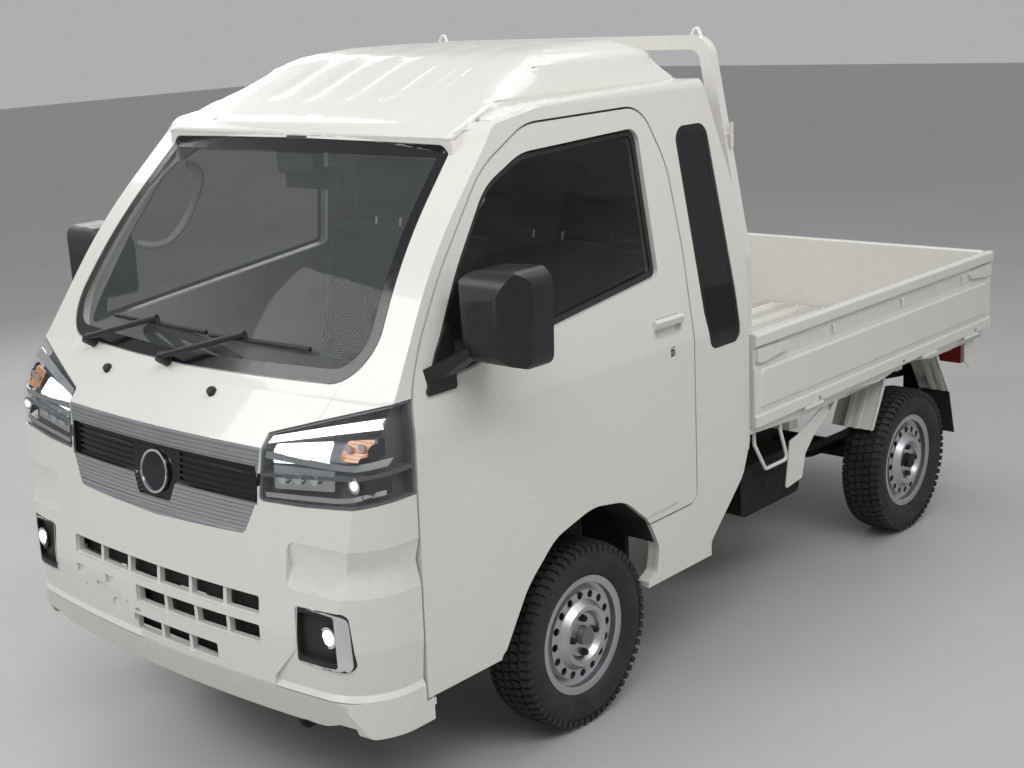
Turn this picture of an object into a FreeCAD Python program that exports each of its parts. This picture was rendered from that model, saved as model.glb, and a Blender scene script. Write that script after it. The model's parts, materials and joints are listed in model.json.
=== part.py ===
"""Kei truck with an extended cab and a drop-side bed, as separate pieces.

Frame: millimetres, +Z up, the front faces -Y and the truck's left side is +X.
The origin is on the ground, below the middle of the overall box.
"""
import FreeCAD, Part
import math
import os

V = FreeCAD.Vector

# ---------------------------------------------------------------- driving dimensions
overall_width = 1475.0          # over the body sides, without the mirrors
wheelbase = 1900.0
front_face = -1697.5            # the datum of the cab's tables: the bumper's foremost line
front_overhang = 877.5
rear_overhang = 617.5
tyre_inset = 12.5               # the tyres' outer faces lie this far inside the body sides
rear_tyre_inset = 15.0

tyre_radius = 264.0
tyre_width = 145.0
rim_radius = 152.4              # bead seat of a 12 inch rim
rim_width = 112.0
hub_bore = 54.0

belt_height = 1000.0            # above this the cab sides lean inwards
lean = 0.1406                   # inward lean of the cab sides, per mm of height
door_top = 1672.0
roof_height = 1846.0
side_wall = 42.0                # thickness of the cab sides and doors
front_wall = 40.0
roof_wall = 26.0
glass_thickness = 4.0
shut_gap = 6.0                  # open joint round a door or a gate
fit = 0.3                       # clearance of pieces that seat in each other
panel_fit = 0.9                 # open joint round lamps and trim

bed_floor_top = 660.0
bed_front = 62.0                # inner face of the bed's front wall
gate_height = 294.0
gate_wall = 30.0
sill_drop = 45.0                # the bed's sill ends this far below the floor

guard_top = 1839.0

# ---------------------------------------------------------------- derived places
half_width = overall_width / 2
front_axle = front_face + front_overhang
rear_axle = front_axle + wheelbase
bed_rear = rear_axle + rear_overhang
axle_height = tyre_radius
front_track = overall_width - 2 * tyre_inset - tyre_width
rear_track = overall_width - 2 * rear_tyre_inset - tyre_width
gate_bottom = bed_floor_top - 8
gate_top = gate_bottom + gate_height
sill_bottom = bed_floor_top - sill_drop
cab_rear = 0.0
plan_axis = 2900.0              # the front surfaces turn about this upright line


# ---------------------------------------------------------------- shape helpers
def box(x0, x1, y0, y1, z0, z1):
    return Part.makeBox(x1 - x0, y1 - y0, z1 - z0, V(x0, y0, z0))


def rod(start, end, radius):
    start, end = V(*start), V(*end)
    return Part.makeCylinder(radius, (end - start).Length, start, end - start)


def ring_x(x0, x1, inner, outer, y, z):
    disc = Part.makeCylinder(outer, x1 - x0, V(x0, y, z), V(1, 0, 0))
    if inner <= 0:
        return disc
    return disc.cut(Part.makeCylinder(inner, x1 - x0 + 2, V(x0 - 1, y, z), V(1, 0, 0)))


def mirrored(shape):
    return shape.mirror(V(0, 0, 0), V(1, 0, 0))


def sides(shape):
    return [shape, mirrored(shape)]


def fuse(shapes):
    joined = shapes[0].multiFuse(shapes[1:]) if len(shapes) > 1 else shapes[0]
    return joined.removeSplitter()


def corner_points(outline):
    """Rows are (u, v) or (u, v, corner radius); give every row a radius."""
    return [(row[0], row[1], row[2] if len(row) > 2 else 0.0) for row in outline]


def signed_area(points):
    pairs = zip(points, points[1:] + points[:1])
    return sum(a[0] * b[1] - b[0] * a[1] for a, b in pairs) / 2


def inset(outline, distance):
    """The outline moved inwards by distance, with its corner radii following."""
    points = corner_points(outline)
    turn = 1.0 if signed_area(points) > 0 else -1.0
    count = len(points)
    moved = []
    for i in range(count):
        (ax, ay, _), (bx, by, radius), (cx, cy, _) = points[i - 1], points[i], points[(i + 1) % count]
        d1 = math.hypot(bx - ax, by - ay)
        d2 = math.hypot(cx - bx, cy - by)
        n1 = (-turn * (by - ay) / d1, turn * (bx - ax) / d1)
        n2 = (-turn * (cy - by) / d2, turn * (cx - bx) / d2)
        scale = distance / (1 + n1[0] * n2[0] + n1[1] * n2[1])
        convex = turn * ((bx - ax) * (cy - by) - (by - ay) * (cx - bx)) > 0
        new_radius = max(radius - distance, 0.0) if convex else radius + distance
        new_radius = new_radius if radius > 0 else 0.0
        moved.append((bx + scale * (n1[0] + n2[0]), by + scale * (n1[1] + n2[1]), new_radius))
    return moved


def outline_face(outline, place):
    """A face from an outline whose corners are rounded; place maps (u, v) to a point."""
    points = corner_points(outline)
    count = len(points)
    arcs = []
    for i in range(count):
        (ax, ay, _), (bx, by, radius), (cx, cy, _) = points[i - 1], points[i], points[(i + 1) % count]
        if radius < 0.05:
            arcs.append(((bx, by), None, (bx, by)))
            continue
        d1 = math.hypot(ax - bx, ay - by)
        d2 = math.hypot(cx - bx, cy - by)
        u1 = ((ax - bx) / d1, (ay - by) / d1)
        u2 = ((cx - bx) / d2, (cy - by) / d2)
        half = math.acos(max(-1.0, min(1.0, u1[0] * u2[0] + u1[1] * u2[1]))) / 2
        reach = radius / math.tan(half)
        bisector = (u1[0] + u2[0], u1[1] + u2[1])
        length = math.hypot(*bisector)
        depth = radius / math.sin(half) - radius
        middle = (bx + bisector[0] / length * depth, by + bisector[1] / length * depth)
        start = (bx + u1[0] * reach, by + u1[1] * reach)
        end = (bx + u2[0] * reach, by + u2[1] * reach)
        arcs.append((start, middle, end))
    edges = []
    for i in range(count):
        start, middle, end = arcs[i]
        if middle is not None:
            edges.append(Part.Arc(place(*start), place(*middle), place(*end)).toShape())
        following = arcs[(i + 1) % count][0]
        if math.hypot(end[0] - following[0], end[1] - following[1]) > 1e-4:
            edges.append(Part.makeLine(place(*end), place(*following)))
    return Part.Face(Part.Wire(edges))


def rounded(u0, u1, v0, v1, radius):
    """The outline of a rectangle with rounded corners."""
    return [(u0, v0, radius), (u1, v0, radius), (u1, v1, radius), (u0, v1, radius)]


def prism_x(outline, x0, x1):
    """Outline rows are (y, z, radius)."""
    return outline_face(outline, lambda y, z: V(x0, y, z)).extrude(V(x1 - x0, 0, 0))


def prism_y(outline, y0, y1):
    """Outline rows are (x, z, radius)."""
    return outline_face(outline, lambda x, z: V(x, y0, z)).extrude(V(0, y1 - y0, 0))


def prism_z(outline, z0, z1):
    """Outline rows are (x, y, radius)."""
    return outline_face(outline, lambda x, y: V(x, y, z0)).extrude(V(0, 0, z1 - z0))


def symmetric(half_outline):
    """Rows (x, v, radius) from the bottom up the +X side, completed on the -X side."""
    rows = corner_points(half_outline)
    return rows + [(-x, v, radius) for x, v, radius in reversed(rows) if x > 0]


def turned(outline, y, z):
    """A solid of revolution about the X axis through (y, z); rows are (x, r, radius)."""
    face = outline_face(outline, lambda x, r: V(x, y, z + r))
    return face.revolve(V(0, y, z), V(1, 0, 0), 360)


def bent_tube(points, radius, bend):
    """A round bar along straight runs that are joined by arcs of the given bend."""
    path = [V(*p) for p in points]
    edges = []
    last = path[0]
    for before, corner, after in zip(path, path[1:], path[2:]):
        u1 = (before - corner).normalize()
        u2 = (after - corner).normalize()
        half = u1.getAngle(u2) / 2
        reach = bend / math.tan(half)
        depth = bend / math.sin(half) - bend
        start = corner + u1 * reach
        end = corner + u2 * reach
        middle = corner + (u1 + u2).normalize() * depth
        edges.append(Part.makeLine(last, start))
        edges.append(Part.Arc(start, middle, end).toShape())
        last = end
    edges.append(Part.makeLine(last, path[-1]))
    wire = Part.Wire(edges)
    ring = Part.Wire(Part.makeCircle(radius, path[0], path[1] - path[0]))
    return wire.makePipeShell([ring], True, False)


def raised_pad(outline, slope, place):
    """A pad between an outline and its inset; place maps (u, v, step) for steps 0 and 1 to a point."""
    low = outline_face(outline, lambda u, v: place(u, v, 0)).OuterWire
    high = outline_face(inset(outline, slope), lambda u, v: place(u, v, 1)).OuterWire
    return Part.makeLoft([low, high], True, True)


nodes = {}


def keep(name, shapes):
    solids = []
    for shape in shapes:
        solids.extend(shape.Solids)
    nodes[name] = Part.makeCompound(solids) if len(solids) > 1 else solids[0]


# ---------------------------------------------------------------- cab envelope
def lean_x(z):
    """Half width of the cab side at height z."""
    return half_width - lean * max(0.0, z - belt_height)


# side view of the cab's front and lower roof: (y, z, corner radius)
front_profile = [
    (400, 275), (-1662, 275, 15), (front_face, 375, 25), (front_face, 520, 300),
    (-1652, 962, 25), (-1560, 1076, 50), (-1545, 1092), (-1345, 1395, 1500),
    (-1105, 1630, 30), (-1070, 1672, 60), (-880, 1702, 300), (400, 1736)]
# depths of the bumper's two pressed dents: (z, depth)
dent_levels = [(100, 0), (374, 0), (388, 9), (500, 0), (632, 0), (692, 15), (752, 0), (1000, 0)]
# front view of the cab's body: (x, z, corner radius)
body_section = symmetric([
    (half_width, 200), (half_width, belt_height, 150), (lean_x(1728), 1728, 50), (half_width - 177.5, 1745)])
# plan view of the cab: (x, y, corner radius)
plan_outline = symmetric([(half_width, 100), (half_width, -1641, 165), (0, -1734)])
# side view behind which the lower cab ends: (y, z, corner radius)
rear_profile = [
    (-2000, 200), (-238, 200), (-238, 362, 30), (-72, 515, 30), (cab_rear, 615, 20),
    (cab_rear, 1350, 300), (-100, 1712, 40), (-140, 1800), (-2000, 1800)]
# the raised middle of the roof, in side and in front view
raised_profile = [
    (-110, 1600), (-1090, 1600), (-1092, 1650, 10), (-660, 1828, 400), (-480, roof_height, 300),
    (-235, roof_height, 40), (-110, 1724)]
raised_section = symmetric([
    (half_width - 162.5, 1600), (half_width - 175.5, 1724), (half_width - 216, 1810, 60),
    (half_width - 297.5, roof_height - 2, 200), (0, roof_height + 4)])


def front_line(z):
    """The y of the front profile at height z, its corner roundings left out."""
    for (y0, z0, *_), (y1, z1, *_) in zip(front_profile[1:], front_profile[2:]):
        if z0 <= z <= z1:
            return y0 + (y1 - y0) * (z - z0) / (z1 - z0)


def turned_front(profile, inset_by):
    face = outline_face(inset(profile, inset_by), lambda y, z: V(0, y, z))
    face = face.rotate(V(0, plan_axis, 0), V(0, 0, 1), -14)
    return face.revolve(V(0, plan_axis, 0), V(0, 0, 1), 28)


def cab_envelope(side_inset, front_inset, roof_inset):
    """The cab's outer form with its side, front and roof walls taken off."""
    body = turned_front(front_profile, front_inset)
    body = body.common(prism_z(inset(plan_outline, side_inset), 100, 1900))
    body = body.common(prism_x(inset(rear_profile, front_inset), -900, 900))
    body = body.common(prism_y(inset(body_section, side_inset), -2000, 300))
    raised = prism_y(inset(raised_section, roof_inset), -2000, 300)
    raised = raised.common(prism_x(inset(raised_profile, roof_inset), -900, 900))
    return body.fuse(raised).removeSplitter()


bumper_wall = 24.0
lens_wall = 4.0
lamp_depth = 32.0               # the lamp's housing is this deep behind its lens
outer = cab_envelope(0, 0, 0)
hollow = cab_envelope(side_wall, front_wall, roof_wall)
cab_shell = outer.cut(hollow)
bumper_bore = cab_envelope(bumper_wall, bumper_wall, roof_wall)
under_lens = cab_envelope(lens_wall + fit, lens_wall + fit, lens_wall + fit)


def dent_level(z, depth):
    """The level at height z of the cab's plan, moved inwards by depth and cut by the front."""
    return outline_face(inset(plan_outline, depth), lambda x, y: V(x, y, z)).OuterWire


dented = Part.makeLoft([dent_level(z, depth) for z, depth in dent_levels], True, True)
dented_front = [(400, 100)] + [(front_line(z) + depth, z) for z, depth in dent_levels[1:]] + [(400, 1000)]
dented = dented.common(turned_front(dented_front, 0))

# ---------------------------------------------------------------- outlines of the cab's openings
door_inner = half_width - 177.5
# side view of the front wheel's arch: (y, z, corner radius)
arch_outline = [
    (-1300, 150), (-1195, 324), (-1077, 502, 250), (-960, 598, 150), (-800, 637, 200), (-660, 612, 150),
    (-545, 518, 80), (-500, 430, 50), (-512, 358, 18), (-556, 338), (-553, 150)]
arch_lip = 12.5                 # the arch's edge is this thick
rocker_bottom = 320.0
# side view of the door's open joint: (y, z, corner radius)
door_outline = [
    (-1460, 330), (-1449, 860), (-1441, 1085, 300), (-1383, 1203, 500), (-1283, 1349, 900),
    (-1088, 1574, 330), (-900, 1668, 200), (-410, door_top, 110), (-325, 1500, 300),
    (-304, 1256), (-304, 508, 40), (-640, 504), (-900, 330)]
# side view of the door's window: (y, z, corner radius)
window_outline = [
    (-1372, 1092, 20), (-1340, 1160, 400), (-1225, 1345, 900), (-1080, 1530, 200), (-930, 1596, 200),
    (-440, 1613, 40), (-434, 1203, 25)]
# side view of the quarter window: (y, z, corner radius)
quarter_outline = [
    (-272, 1598, 45), (-112, 1598, 45), (-70, 1100), (-68, 950, 30), (-222, 950, 35), (-243, 1062)]
# front view of the windscreen: (x, z, corner radius)
windscreen_outline = symmetric([
    (0, 1096), (half_width - 97.5, 1108, 110), (half_width - 181.5, 1628, 35), (0, 1636)])
# front view of the headlamp: (x, z, corner radius)
lamp_inner = half_width - 347.5
lamp_outline = [
    (lamp_inner + 7, 833, 12), (half_width - 204.5, 838, 80), (half_width - 66, 850), (900, 875),
    (900, 1131), (half_width - 167.5, 1042), (lamp_inner + 18, 996, 8)]
# front view of the grille: (x, z, corner radius)
grille_outline = symmetric([
    (0, 732), (lamp_inner - 42, 744, 25), (lamp_inner - 4, 822), (lamp_inner + 14, 963)])
# front view of the hood panel: (x, z, corner radius)
hood_outline = symmetric([
    (0, 900), (half_width - 205, 900), (half_width - 205, 1010), (half_width - 177.5, 1114, 20),
    (half_width - 177.5, 1240), (0, 1240)])

door_prism = prism_x(door_outline, door_inner, 900)
window_prism = prism_x(window_outline, door_inner, 900)
quarter_prism = prism_x(quarter_outline, door_inner, 900)
arch_prism = prism_x(arch_outline, door_inner, 900)
arch_recess = prism_x(inset(arch_outline, -12), door_inner, half_width - arch_lip)
arch_prism = prism_x(arch_outline, door_inner, 900)
arch_recess = prism_x(inset(arch_outline, -12), door_inner, half_width - arch_lip)
arch_prism = prism_x(arch_outline, door_inner, 900)
arch_recess = prism_x(inset(arch_outline, -12), door_inner, half_width - arch_lip)
arch_prism = prism_x(arch_outline, door_inner, 900)
arch_recess = prism_x(inset(arch_outline, -12), door_inner, half_width - arch_lip)
arch_prism = prism_x(arch_outline, door_inner, 900)
arch_recess = prism_x(inset(arch_outline, -12), door_inner, half_width - arch_lip)
arch_prism = prism_x(arch_outline, door_inner, 900)
arch_recess = prism_x(inset(arch_outline, -12), door_inner, half_width - arch_lip)
arch_prism = prism_x(arch_outline, door_inner, 900)
arch_recess = prism_x(inset(arch_outline, -12), door_inner, half_width - arch_lip)
arch_prism = prism_x(arch_outline, door_inner, 900)
arch_recess = prism_x(inset(arch_outline, -12), door_inner, half_width - arch_lip)
windscreen_prism = prism_y(windscreen_outline, -1800, -1000)
lamp_prism = prism_y(lamp_outline, -1800, -1435 + fit)
both_lamps = lamp_prism.fuse(mirrored(lamp_prism))
grille_prism = prism_y(grille_outline, -1800, -1500)
side_layer = outer.cut(prism_y(inset(body_section, side_wall), -2000, 300))


# ---------------------------------------------------------------- doors
def side_glass(outline, depth):
    inner = prism_y(inset(body_section, depth + glass_thickness), -2000, 300)
    layer = prism_y(inset(body_section, depth), -2000, 300).cut(inner)
    return layer.common(prism_x(inset(outline, fit), door_inner, 900))


left_door = side_layer.common(prism_x(inset(door_outline, shut_gap), door_inner, 900))
left_door = left_door.cut(window_prism).cut(arch_prism).cut(arch_recess)
# the flare over the wheel, in side view: (y, z, corner radius)
flare_outline = [
    (-1240, 345), (-1173, 620, 200), (-1052, 745, 80), (-925, 802, 150), (-713, 816, 200), (-560, 798, 70),
    (-470, 712, 90), (-402, 585, 40), (-395, 525, 10), (-640, 520), (-900, 345)]
flare_rise = 5.0
flare = raised_pad(flare_outline, 16, lambda y, z, step: V(half_width - 1 + step * (flare_rise + 1), y, z))
flare = flare.cut(arch_prism)
handle_y, handle_z = -424.0, 1064.0
handle_pocket = prism_x([(handle_y - 64, handle_z - 32, 12), (handle_y + 64, handle_z - 32, 12),
                         (handle_y + 64, handle_z + 24, 10), (handle_y - 64, handle_z + 24, 10)],
                        half_width - 24, half_width + 20)
grip = prism_y([
    (half_width - 26, handle_z + 1), (half_width - 4, handle_z - 6, 6), (half_width + 5, handle_z + 19, 6),
    (half_width - 26, handle_z + 25)], handle_y - 66, handle_y + 66)
key_pocket = prism_x(rounded(-423, -401, 965, 1000, 6), half_width - 5, half_width + 20)
left_door = left_door.fuse(flare).cut(fuse([handle_pocket, key_pocket])).fuse(grip)
pivot_x, pivot_y, pivot_radius = half_width - 3.5, -1438.0, 2.5
pivot_bore = Part.makeCylinder(pivot_radius + fit, 40, V(pivot_x, pivot_y, 320))
left_door = left_door.cut(pivot_bore).removeSplitter()
door_pane = side_glass(window_outline, 14)

# ---------------------------------------------------------------- mirrors
mirror_inner = half_width + 22
# the mirror's head in front, plan and side view
head_front = [
    (mirror_inner - 24, 1150, 25), (mirror_inner + 100, 1143, 10), (mirror_inner + 112, 1126, 8),
    (mirror_inner + 165, 1131, 30), (mirror_inner + 173, 1340, 45), (mirror_inner + 145, 1366, 30),
    (mirror_inner + 5, 1360, 50), (mirror_inner - 28, 1300, 60)]
head_plan = [
    (mirror_inner - 40, -1151), (mirror_inner - 28, -1262, 30), (mirror_inner + 15, -1303, 40),
    (mirror_inner + 128, -1290, 50), (mirror_inner + 176, -1215, 30), (mirror_inner + 178, -1151)]
head_side = [
    (-1151, 1110), (-1190, 1122, 20), (-1290, 1150, 40), (-1308, 1250, 200), (-1275, 1364, 60), (-1151, 1376)]
mirror_head = prism_y(head_front, -1310, -1151).common(prism_z(head_plan, 1000, 1500))
mirror_head = mirror_head.common(prism_x(head_side, 700, 1000))
mirror_head = mirror_head.cut(prism_y(inset(head_front, 12), -1156, -1140))
arm_root = [(-1385, 1092), (-1322, 1092), (-1322, 1140), (-1385, 1140)]
arm_end = [(-1298, 1160), (-1250, 1160), (-1250, 1185), (-1298, 1185)]
arm_x = lean_x(1116) - 4
arm_root_wire = outline_face(arm_root, lambda y, z: V(arm_x, y, z)).OuterWire
arm_end_wire = outline_face(arm_end, lambda y, z: V(mirror_inner + 30, y, z)).OuterWire
mirror_arm = Part.makeLoft([arm_root_wire, arm_end_wire], True, True)
sail_outline = [(-1391, 1078, 8), (-1285, 1078, 8), (-1270, 1262, 12), (-1337, 1172, 60)]
sail_layer = prism_y(inset(body_section, -7), -2000, 300).cut(prism_y(inset(body_section, -fit), -2000, 300))
sail = sail_layer.common(prism_x(sail_outline, door_inner, 900))
mirror_arm = mirror_arm.cut(prism_y(inset(body_section, -fit), -2000, 300))
left_mirror = fuse([mirror_head, mirror_arm, sail])

for side, place in (("left", lambda shape: shape), ("right", mirrored)):
    keep(side + "_door", [place(left_door)])
    keep(side + "_door_glass", [place(door_pane)])
    keep(side + "_mirror", [place(left_mirror)])

# ---------------------------------------------------------------- fixed cab panels
front_zone = box(-900, 900, -1800, -1435, 100, 1800)
roof_half = half_width - 139.5
roof_zone = prism_y(symmetric([(roof_half, 1640), (roof_half, 1900)]), -1120, -20)
roof_zone = roof_zone.common(prism_x([(-1150, 1645), (-1080, 1638), (-1000, 1678), (-20, 1678), (-20, 1900),
                                      (-1150, 1900)], -900, 900))
back_half = roof_half - 2
back_zone = box(-back_half, back_half, -60, 10, 100, 1900)
back_zone = back_zone.fuse(box(-back_half, back_half, -150, -60, 1400, 1900))


def largest(shape):
    return max(shape.Solids, key=lambda solid: solid.Volume)


# pressed ribs that run along the raised roof: (x, half width)
roof_ribs = [(0.0, 26.0), (150.0, 26.0), (300.0, 26.0)]
rib_depth = 3.0
roof = largest(cab_shell.common(roof_zone))
rib_layer = outer.cut(cab_envelope(0, 0, rib_depth))
for x, half in roof_ribs:
    groove = rib_layer.common(prism_z([(x - half, -900, 20), (x + half, -900, 20), (x + half, -290, 20),
                                       (x - half, -290, 20)], 1700, 1900))
    roof = roof.cut(groove)
    if x > 0:
        roof = roof.cut(mirrored(groove))
keep("roof", [roof])
back = cab_shell.common(back_zone).cut(roof_zone)
back = back.cut(box(-600, 600, -200, 100, 100, 560))
rear_window_outline = symmetric([(half_width - 267.5, 1180, 40), (half_width - 297.5, 1560, 40)])
rear_window_prism = prism_y(rear_window_outline, -200, 50)
keep("cab_back", [back.cut(rear_window_prism)])

lower_cab = cab_shell.cut(fuse([roof_zone, back_zone, windscreen_prism]))
hood_zone = prism_y(inset(hood_outline, panel_fit), -1800, -1400).cut(both_lamps.fuse(grille_prism))
keep("hood", [largest(lower_cab.common(hood_zone))])

side_panel = lower_cab.common(box(0, 900, -1800, 100, rocker_bottom, 1900))
hood_prism = prism_y(hood_outline, -1800, -1400)
side_panel = side_panel.cut(fuse([door_prism, quarter_prism, lamp_prism, hood_prism]))
side_panel = side_panel.cut(box(-10, 900, -1800, -1435, 100, 960)).cut(box(-10, 900, -1800, -1100, 100, 800))
side_panel = side_panel.cut(box(-10, half_width - 301, -1800, -1100, 100, 1300))
side_panel = side_panel.cut(box(-10, side_wall, -1800, 100, 100, 1900))
side_panel = side_panel.cut(box(-10, half_width - 197.5, -1100, 100, 100, 1060))
liner_seat = prism_x(inset(arch_outline, -4 - fit), door_inner, half_width - arch_lip)
main_side = largest(side_panel.cut(arch_prism).cut(liner_seat))
keep("left_cab_side", [main_side])
keep("right_cab_side", [mirrored(main_side)])

screen_layer = cab_envelope(0, 2, 2).cut(cab_envelope(0, 2 + glass_thickness + 1, 10))
keep("windscreen", [largest(screen_layer.common(prism_y(inset(windscreen_outline, fit), -1800, -1000)))])
quarter_pane = side_glass(quarter_outline, 3)
pane_setback = 18.0
rear_pane = prism_y(inset(rear_window_outline, fit), -200, 50)
rear_pane = rear_pane.common(prism_x(inset(rear_profile, pane_setback), -900, 900))
rear_pane = rear_pane.cut(prism_x(inset(rear_profile, pane_setback + glass_thickness), -900, 900))
keep("cab_windows", [quarter_pane, mirrored(quarter_pane), rear_pane])

# ---------------------------------------------------------------- bumper
bumper_layer = outer.cut(bumper_bore).common(front_zone)
above_bumper = box(-900, 900, -1800, -1400, 868, 1900)
above_bumper = above_bumper.fuse(box(-lamp_inner - 4, lamp_inner + 4, -1800, -1400, 822, 1000))
bumper = bumper_layer.cut(fuse([above_bumper, both_lamps, grille_prism]))
# front views of the dents of the bumper's corners and of its lower lip: (x, z, corner radius)
corner_dent = [
    (half_width - 252, 634, 25), (900, 634), (900, 750), (half_width - 246, 750, 25)]
lip_dent = [
    (half_width - 303, 370), (900, 370), (900, 496), (half_width - 215, 496), (half_width - 300, 400)]
long_lip_dent = [(-900, 370), (-87, 370), (-92, 396), (-200, 496), (-900, 496)]
mirrored_dent = [(-row[0], *row[1:]) for row in corner_dent]
for outline in (corner_dent, mirrored_dent, lip_dent, long_lip_dent):
    bumper = bumper.cut(prism_y(outline, -1800, -1435).cut(dented))
# rows of the lower grille: (x start, x end, z bottom, z top, cells)
grille_rows = [
    (345.5 - half_width, half_width - 345.5, 547, 593, 6), (-90, half_width - 345.5, 476, 520, 4),
    (-112, 230, 392, 434, 3)]
bar = 12.0
bar_setback = 8.0
setback_layer = outer.cut(cab_envelope(bar_setback, bar_setback, roof_wall))
for x0, x1, z0, z1, cells in grille_rows:
    frame = prism_y(rounded(x0 - 4, x1 + 4, z0 - 3, z1 + 3, 6), -1800, -1500)
    bumper = bumper.cut(setback_layer.common(frame))
    width = (x1 - x0 - bar * (cells - 1)) / cells
    for i in range(cells):
        start = x0 + i * (width + bar)
        bumper = bumper.cut(prism_y(rounded(start, start + width, z0, z1, 4), -1800, -1600))
fog_inner = half_width - 223.5
# front view of the fog lamp: (x, z, corner radius)
fog_outline = [
    (fog_inner + 6, 458, 8), (fog_inner + 165, 448, 25), (fog_inner + 154, 600, 20), (fog_inner, 595, 8)]
fog_prism = prism_y(fog_outline, -1800, -1500)
bumper = bumper.cut(fog_prism.fuse(mirrored(fog_prism)))
bumper = bumper.cut(door_prism.fuse(mirrored(door_prism))).cut(box(-660, 660, -1630, -1400, 270, 300))
plate_x, plate_z = -250.0, 460.0
plate_spacing = 210.0
for x in (plate_x - plate_spacing / 2, plate_x + plate_spacing / 2):
    bumper = bumper.cut(Part.makeCylinder(3.5, 200, V(x, -1800, plate_z), V(0, 1, 0)))
# pockets of the plate's clips: (x, z, half width, half height)
for x, z, wide, high in ((-374, 500, 22, 13), (-222, 503, 22, 13), (-275, 478, 22, 7), (-95, 448, 14, 6)):
    pocket = prism_y(rounded(x - wide, x + wide, z - high, z + high, 3), -1800, -1500)
    bumper = bumper.cut(setback_layer.common(pocket))
bumper = bumper.cut(setback_layer.common(Part.makeCylinder(19, 300, V(-205, -1800, 438), V(0, 1, 0))))
pivot_lug = box(half_width - 16, half_width - 0.5, -1470, pivot_y + 10, 312, 330 - fit)
pivot = fuse([pivot_lug, Part.makeCylinder(pivot_radius, 36, V(pivot_x, pivot_y, 314))])
keep("front_bumper", [largest(bumper.fuse(sides(pivot)).removeSplitter())])

# ---------------------------------------------------------------- headlamps and fog lamps
lamp_rim = 7.0
lamp_face = prism_y(inset(lamp_outline, panel_fit), -1800, -1400).cut(door_prism)
keep_clear = prism_x(inset(door_outline, -lamp_rim), door_inner, 900)
lens = largest(outer.cut(cab_envelope(lens_wall, lens_wall, lens_wall)).common(front_zone).common(lamp_face))
housing = under_lens.cut(hollow).common(front_zone).common(lamp_face)
divider = prism_y([(300, 884), (900, 938), (900, 950), (300, 892)], -1800, -1400)
pocket = under_lens.cut(cab_envelope(lamp_depth, lamp_depth, roof_wall))
pocket = pocket.common(prism_y(inset(lamp_outline, lamp_rim), -1800, -1400)).cut(keep_clear.fuse(divider))
housing = largest(housing.cut(pocket))
fog_depth = 15.0
fog_light = Part.makeCylinder(33, 300, V(fog_inner + 104, -1800, 528), V(0, 1, 0))
fog_floor = cab_envelope(fog_depth, fog_depth, roof_wall)
# front view of the fog lamp's pocket: (x, z, corner radius)
fog_window = [
    (fog_inner + 12, 474, 6), (fog_inner + 122, 472, 6), (fog_inner + 118, 588, 6), (fog_inner + 9, 583, 6)]
fog_pocket = outer.cut(fog_floor).common(prism_y(fog_window, -1800, -1500))
fog = bumper_layer.common(prism_y(inset(fog_outline, panel_fit), -1800, -1500)).cut(fog_pocket)
fog_glass = cab_envelope(fog_depth / 2, fog_depth / 2, roof_wall).cut(fog_floor).common(fog_light)
fog = fog.fuse(fog_glass.common(prism_y(inset(fog_window, -1), -1800, -1500))).removeSplitter()
fog = largest(fog)
keep("front_lamps", sides(housing) + sides(lens) + sides(fog))

# ---------------------------------------------------------------- grille
grille_back = cab_envelope(bumper_wall, 30, roof_wall)
band_depth = 9.0
band_bottom, band_top = 827.0, 916.0
emblem_z = 843.0
emblem_radius = 58.0
grille = outer.cut(grille_back).common(prism_y(inset(grille_outline, panel_fit), -1800, -1500))
band = symmetric([
    (0, 776), (66, 776, 8), (88, band_bottom, 8), (lamp_inner - 12, band_bottom + 3, 4),
    (lamp_inner - 2, band_top, 4), (0, band_top - 2)])
band_layer = outer.cut(cab_envelope(band_depth, band_depth, roof_wall))
grille = grille.cut(band_layer.common(prism_y(band, -1800, -1500)))
slat_count = 5
slat_pitch = (band_top - band_bottom - 12) / slat_count
slat_layer = outer.cut(cab_envelope(band_depth + 5, band_depth + 5, roof_wall))
for i in range(slat_count):
    z = band_bottom + 9 + i * slat_pitch
    for x0, x1 in ((98, lamp_inner - 22), (22 - lamp_inner, -98)):
        groove = prism_y(rounded(x0, x1, z, z + slat_pitch - 7, 0), -1800, -1500)
        grille = grille.cut(slat_layer.common(groove))
# steps of the upper and lower garnish: (z bottom, z top, depth)
for z0, z1, depth in ((920, 922, 2.0), (938, 940, 2.0), (760, 763, 2.5), (746, 749, 2.5)):
    strip = symmetric([(0, z0), (lamp_inner - 40, z0 + 3), (lamp_inner - 40, z1 + 3), (0, z1)])
    line = outer.cut(cab_envelope(depth, depth, roof_wall)).common(prism_y(strip, -1800, -1500))
    grille = grille.cut(line)
emblem = Part.makeCylinder(emblem_radius, 300, V(0, -1800, emblem_z), V(0, 1, 0))
emblem_layer = cab_envelope(3, 3, roof_wall).cut(cab_envelope(band_depth + 1, band_depth + 1, roof_wall))
grille = largest(grille.fuse(emblem_layer.common(emblem)).removeSplitter())
keep("grille", [grille])

# ---------------------------------------------------------------- wiper arms
def front_point(x, z, out):
    """A point at distance out from the cab's front surface, at (x, z) on it."""
    rows = corner_points(front_profile)[1:]
    for (y0, z0, _), (y1, z1, _) in zip(rows, rows[1:]):
        if z0 <= z <= z1:
            break
    y = y0 + (y1 - y0) * (z - z0) / (z1 - z0)
    length = math.hypot(y1 - y0, z1 - z0)
    normal_y, normal_z = -(z1 - z0) / length, (y1 - y0) / length
    y = plan_axis - math.sqrt((plan_axis - y) ** 2 - x ** 2)
    return V(x, y + out * normal_y, z + out * normal_z)


blade_radius = 6.0
blade_sag = 8.0                 # a straight blade bridges the glass's bow
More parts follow.
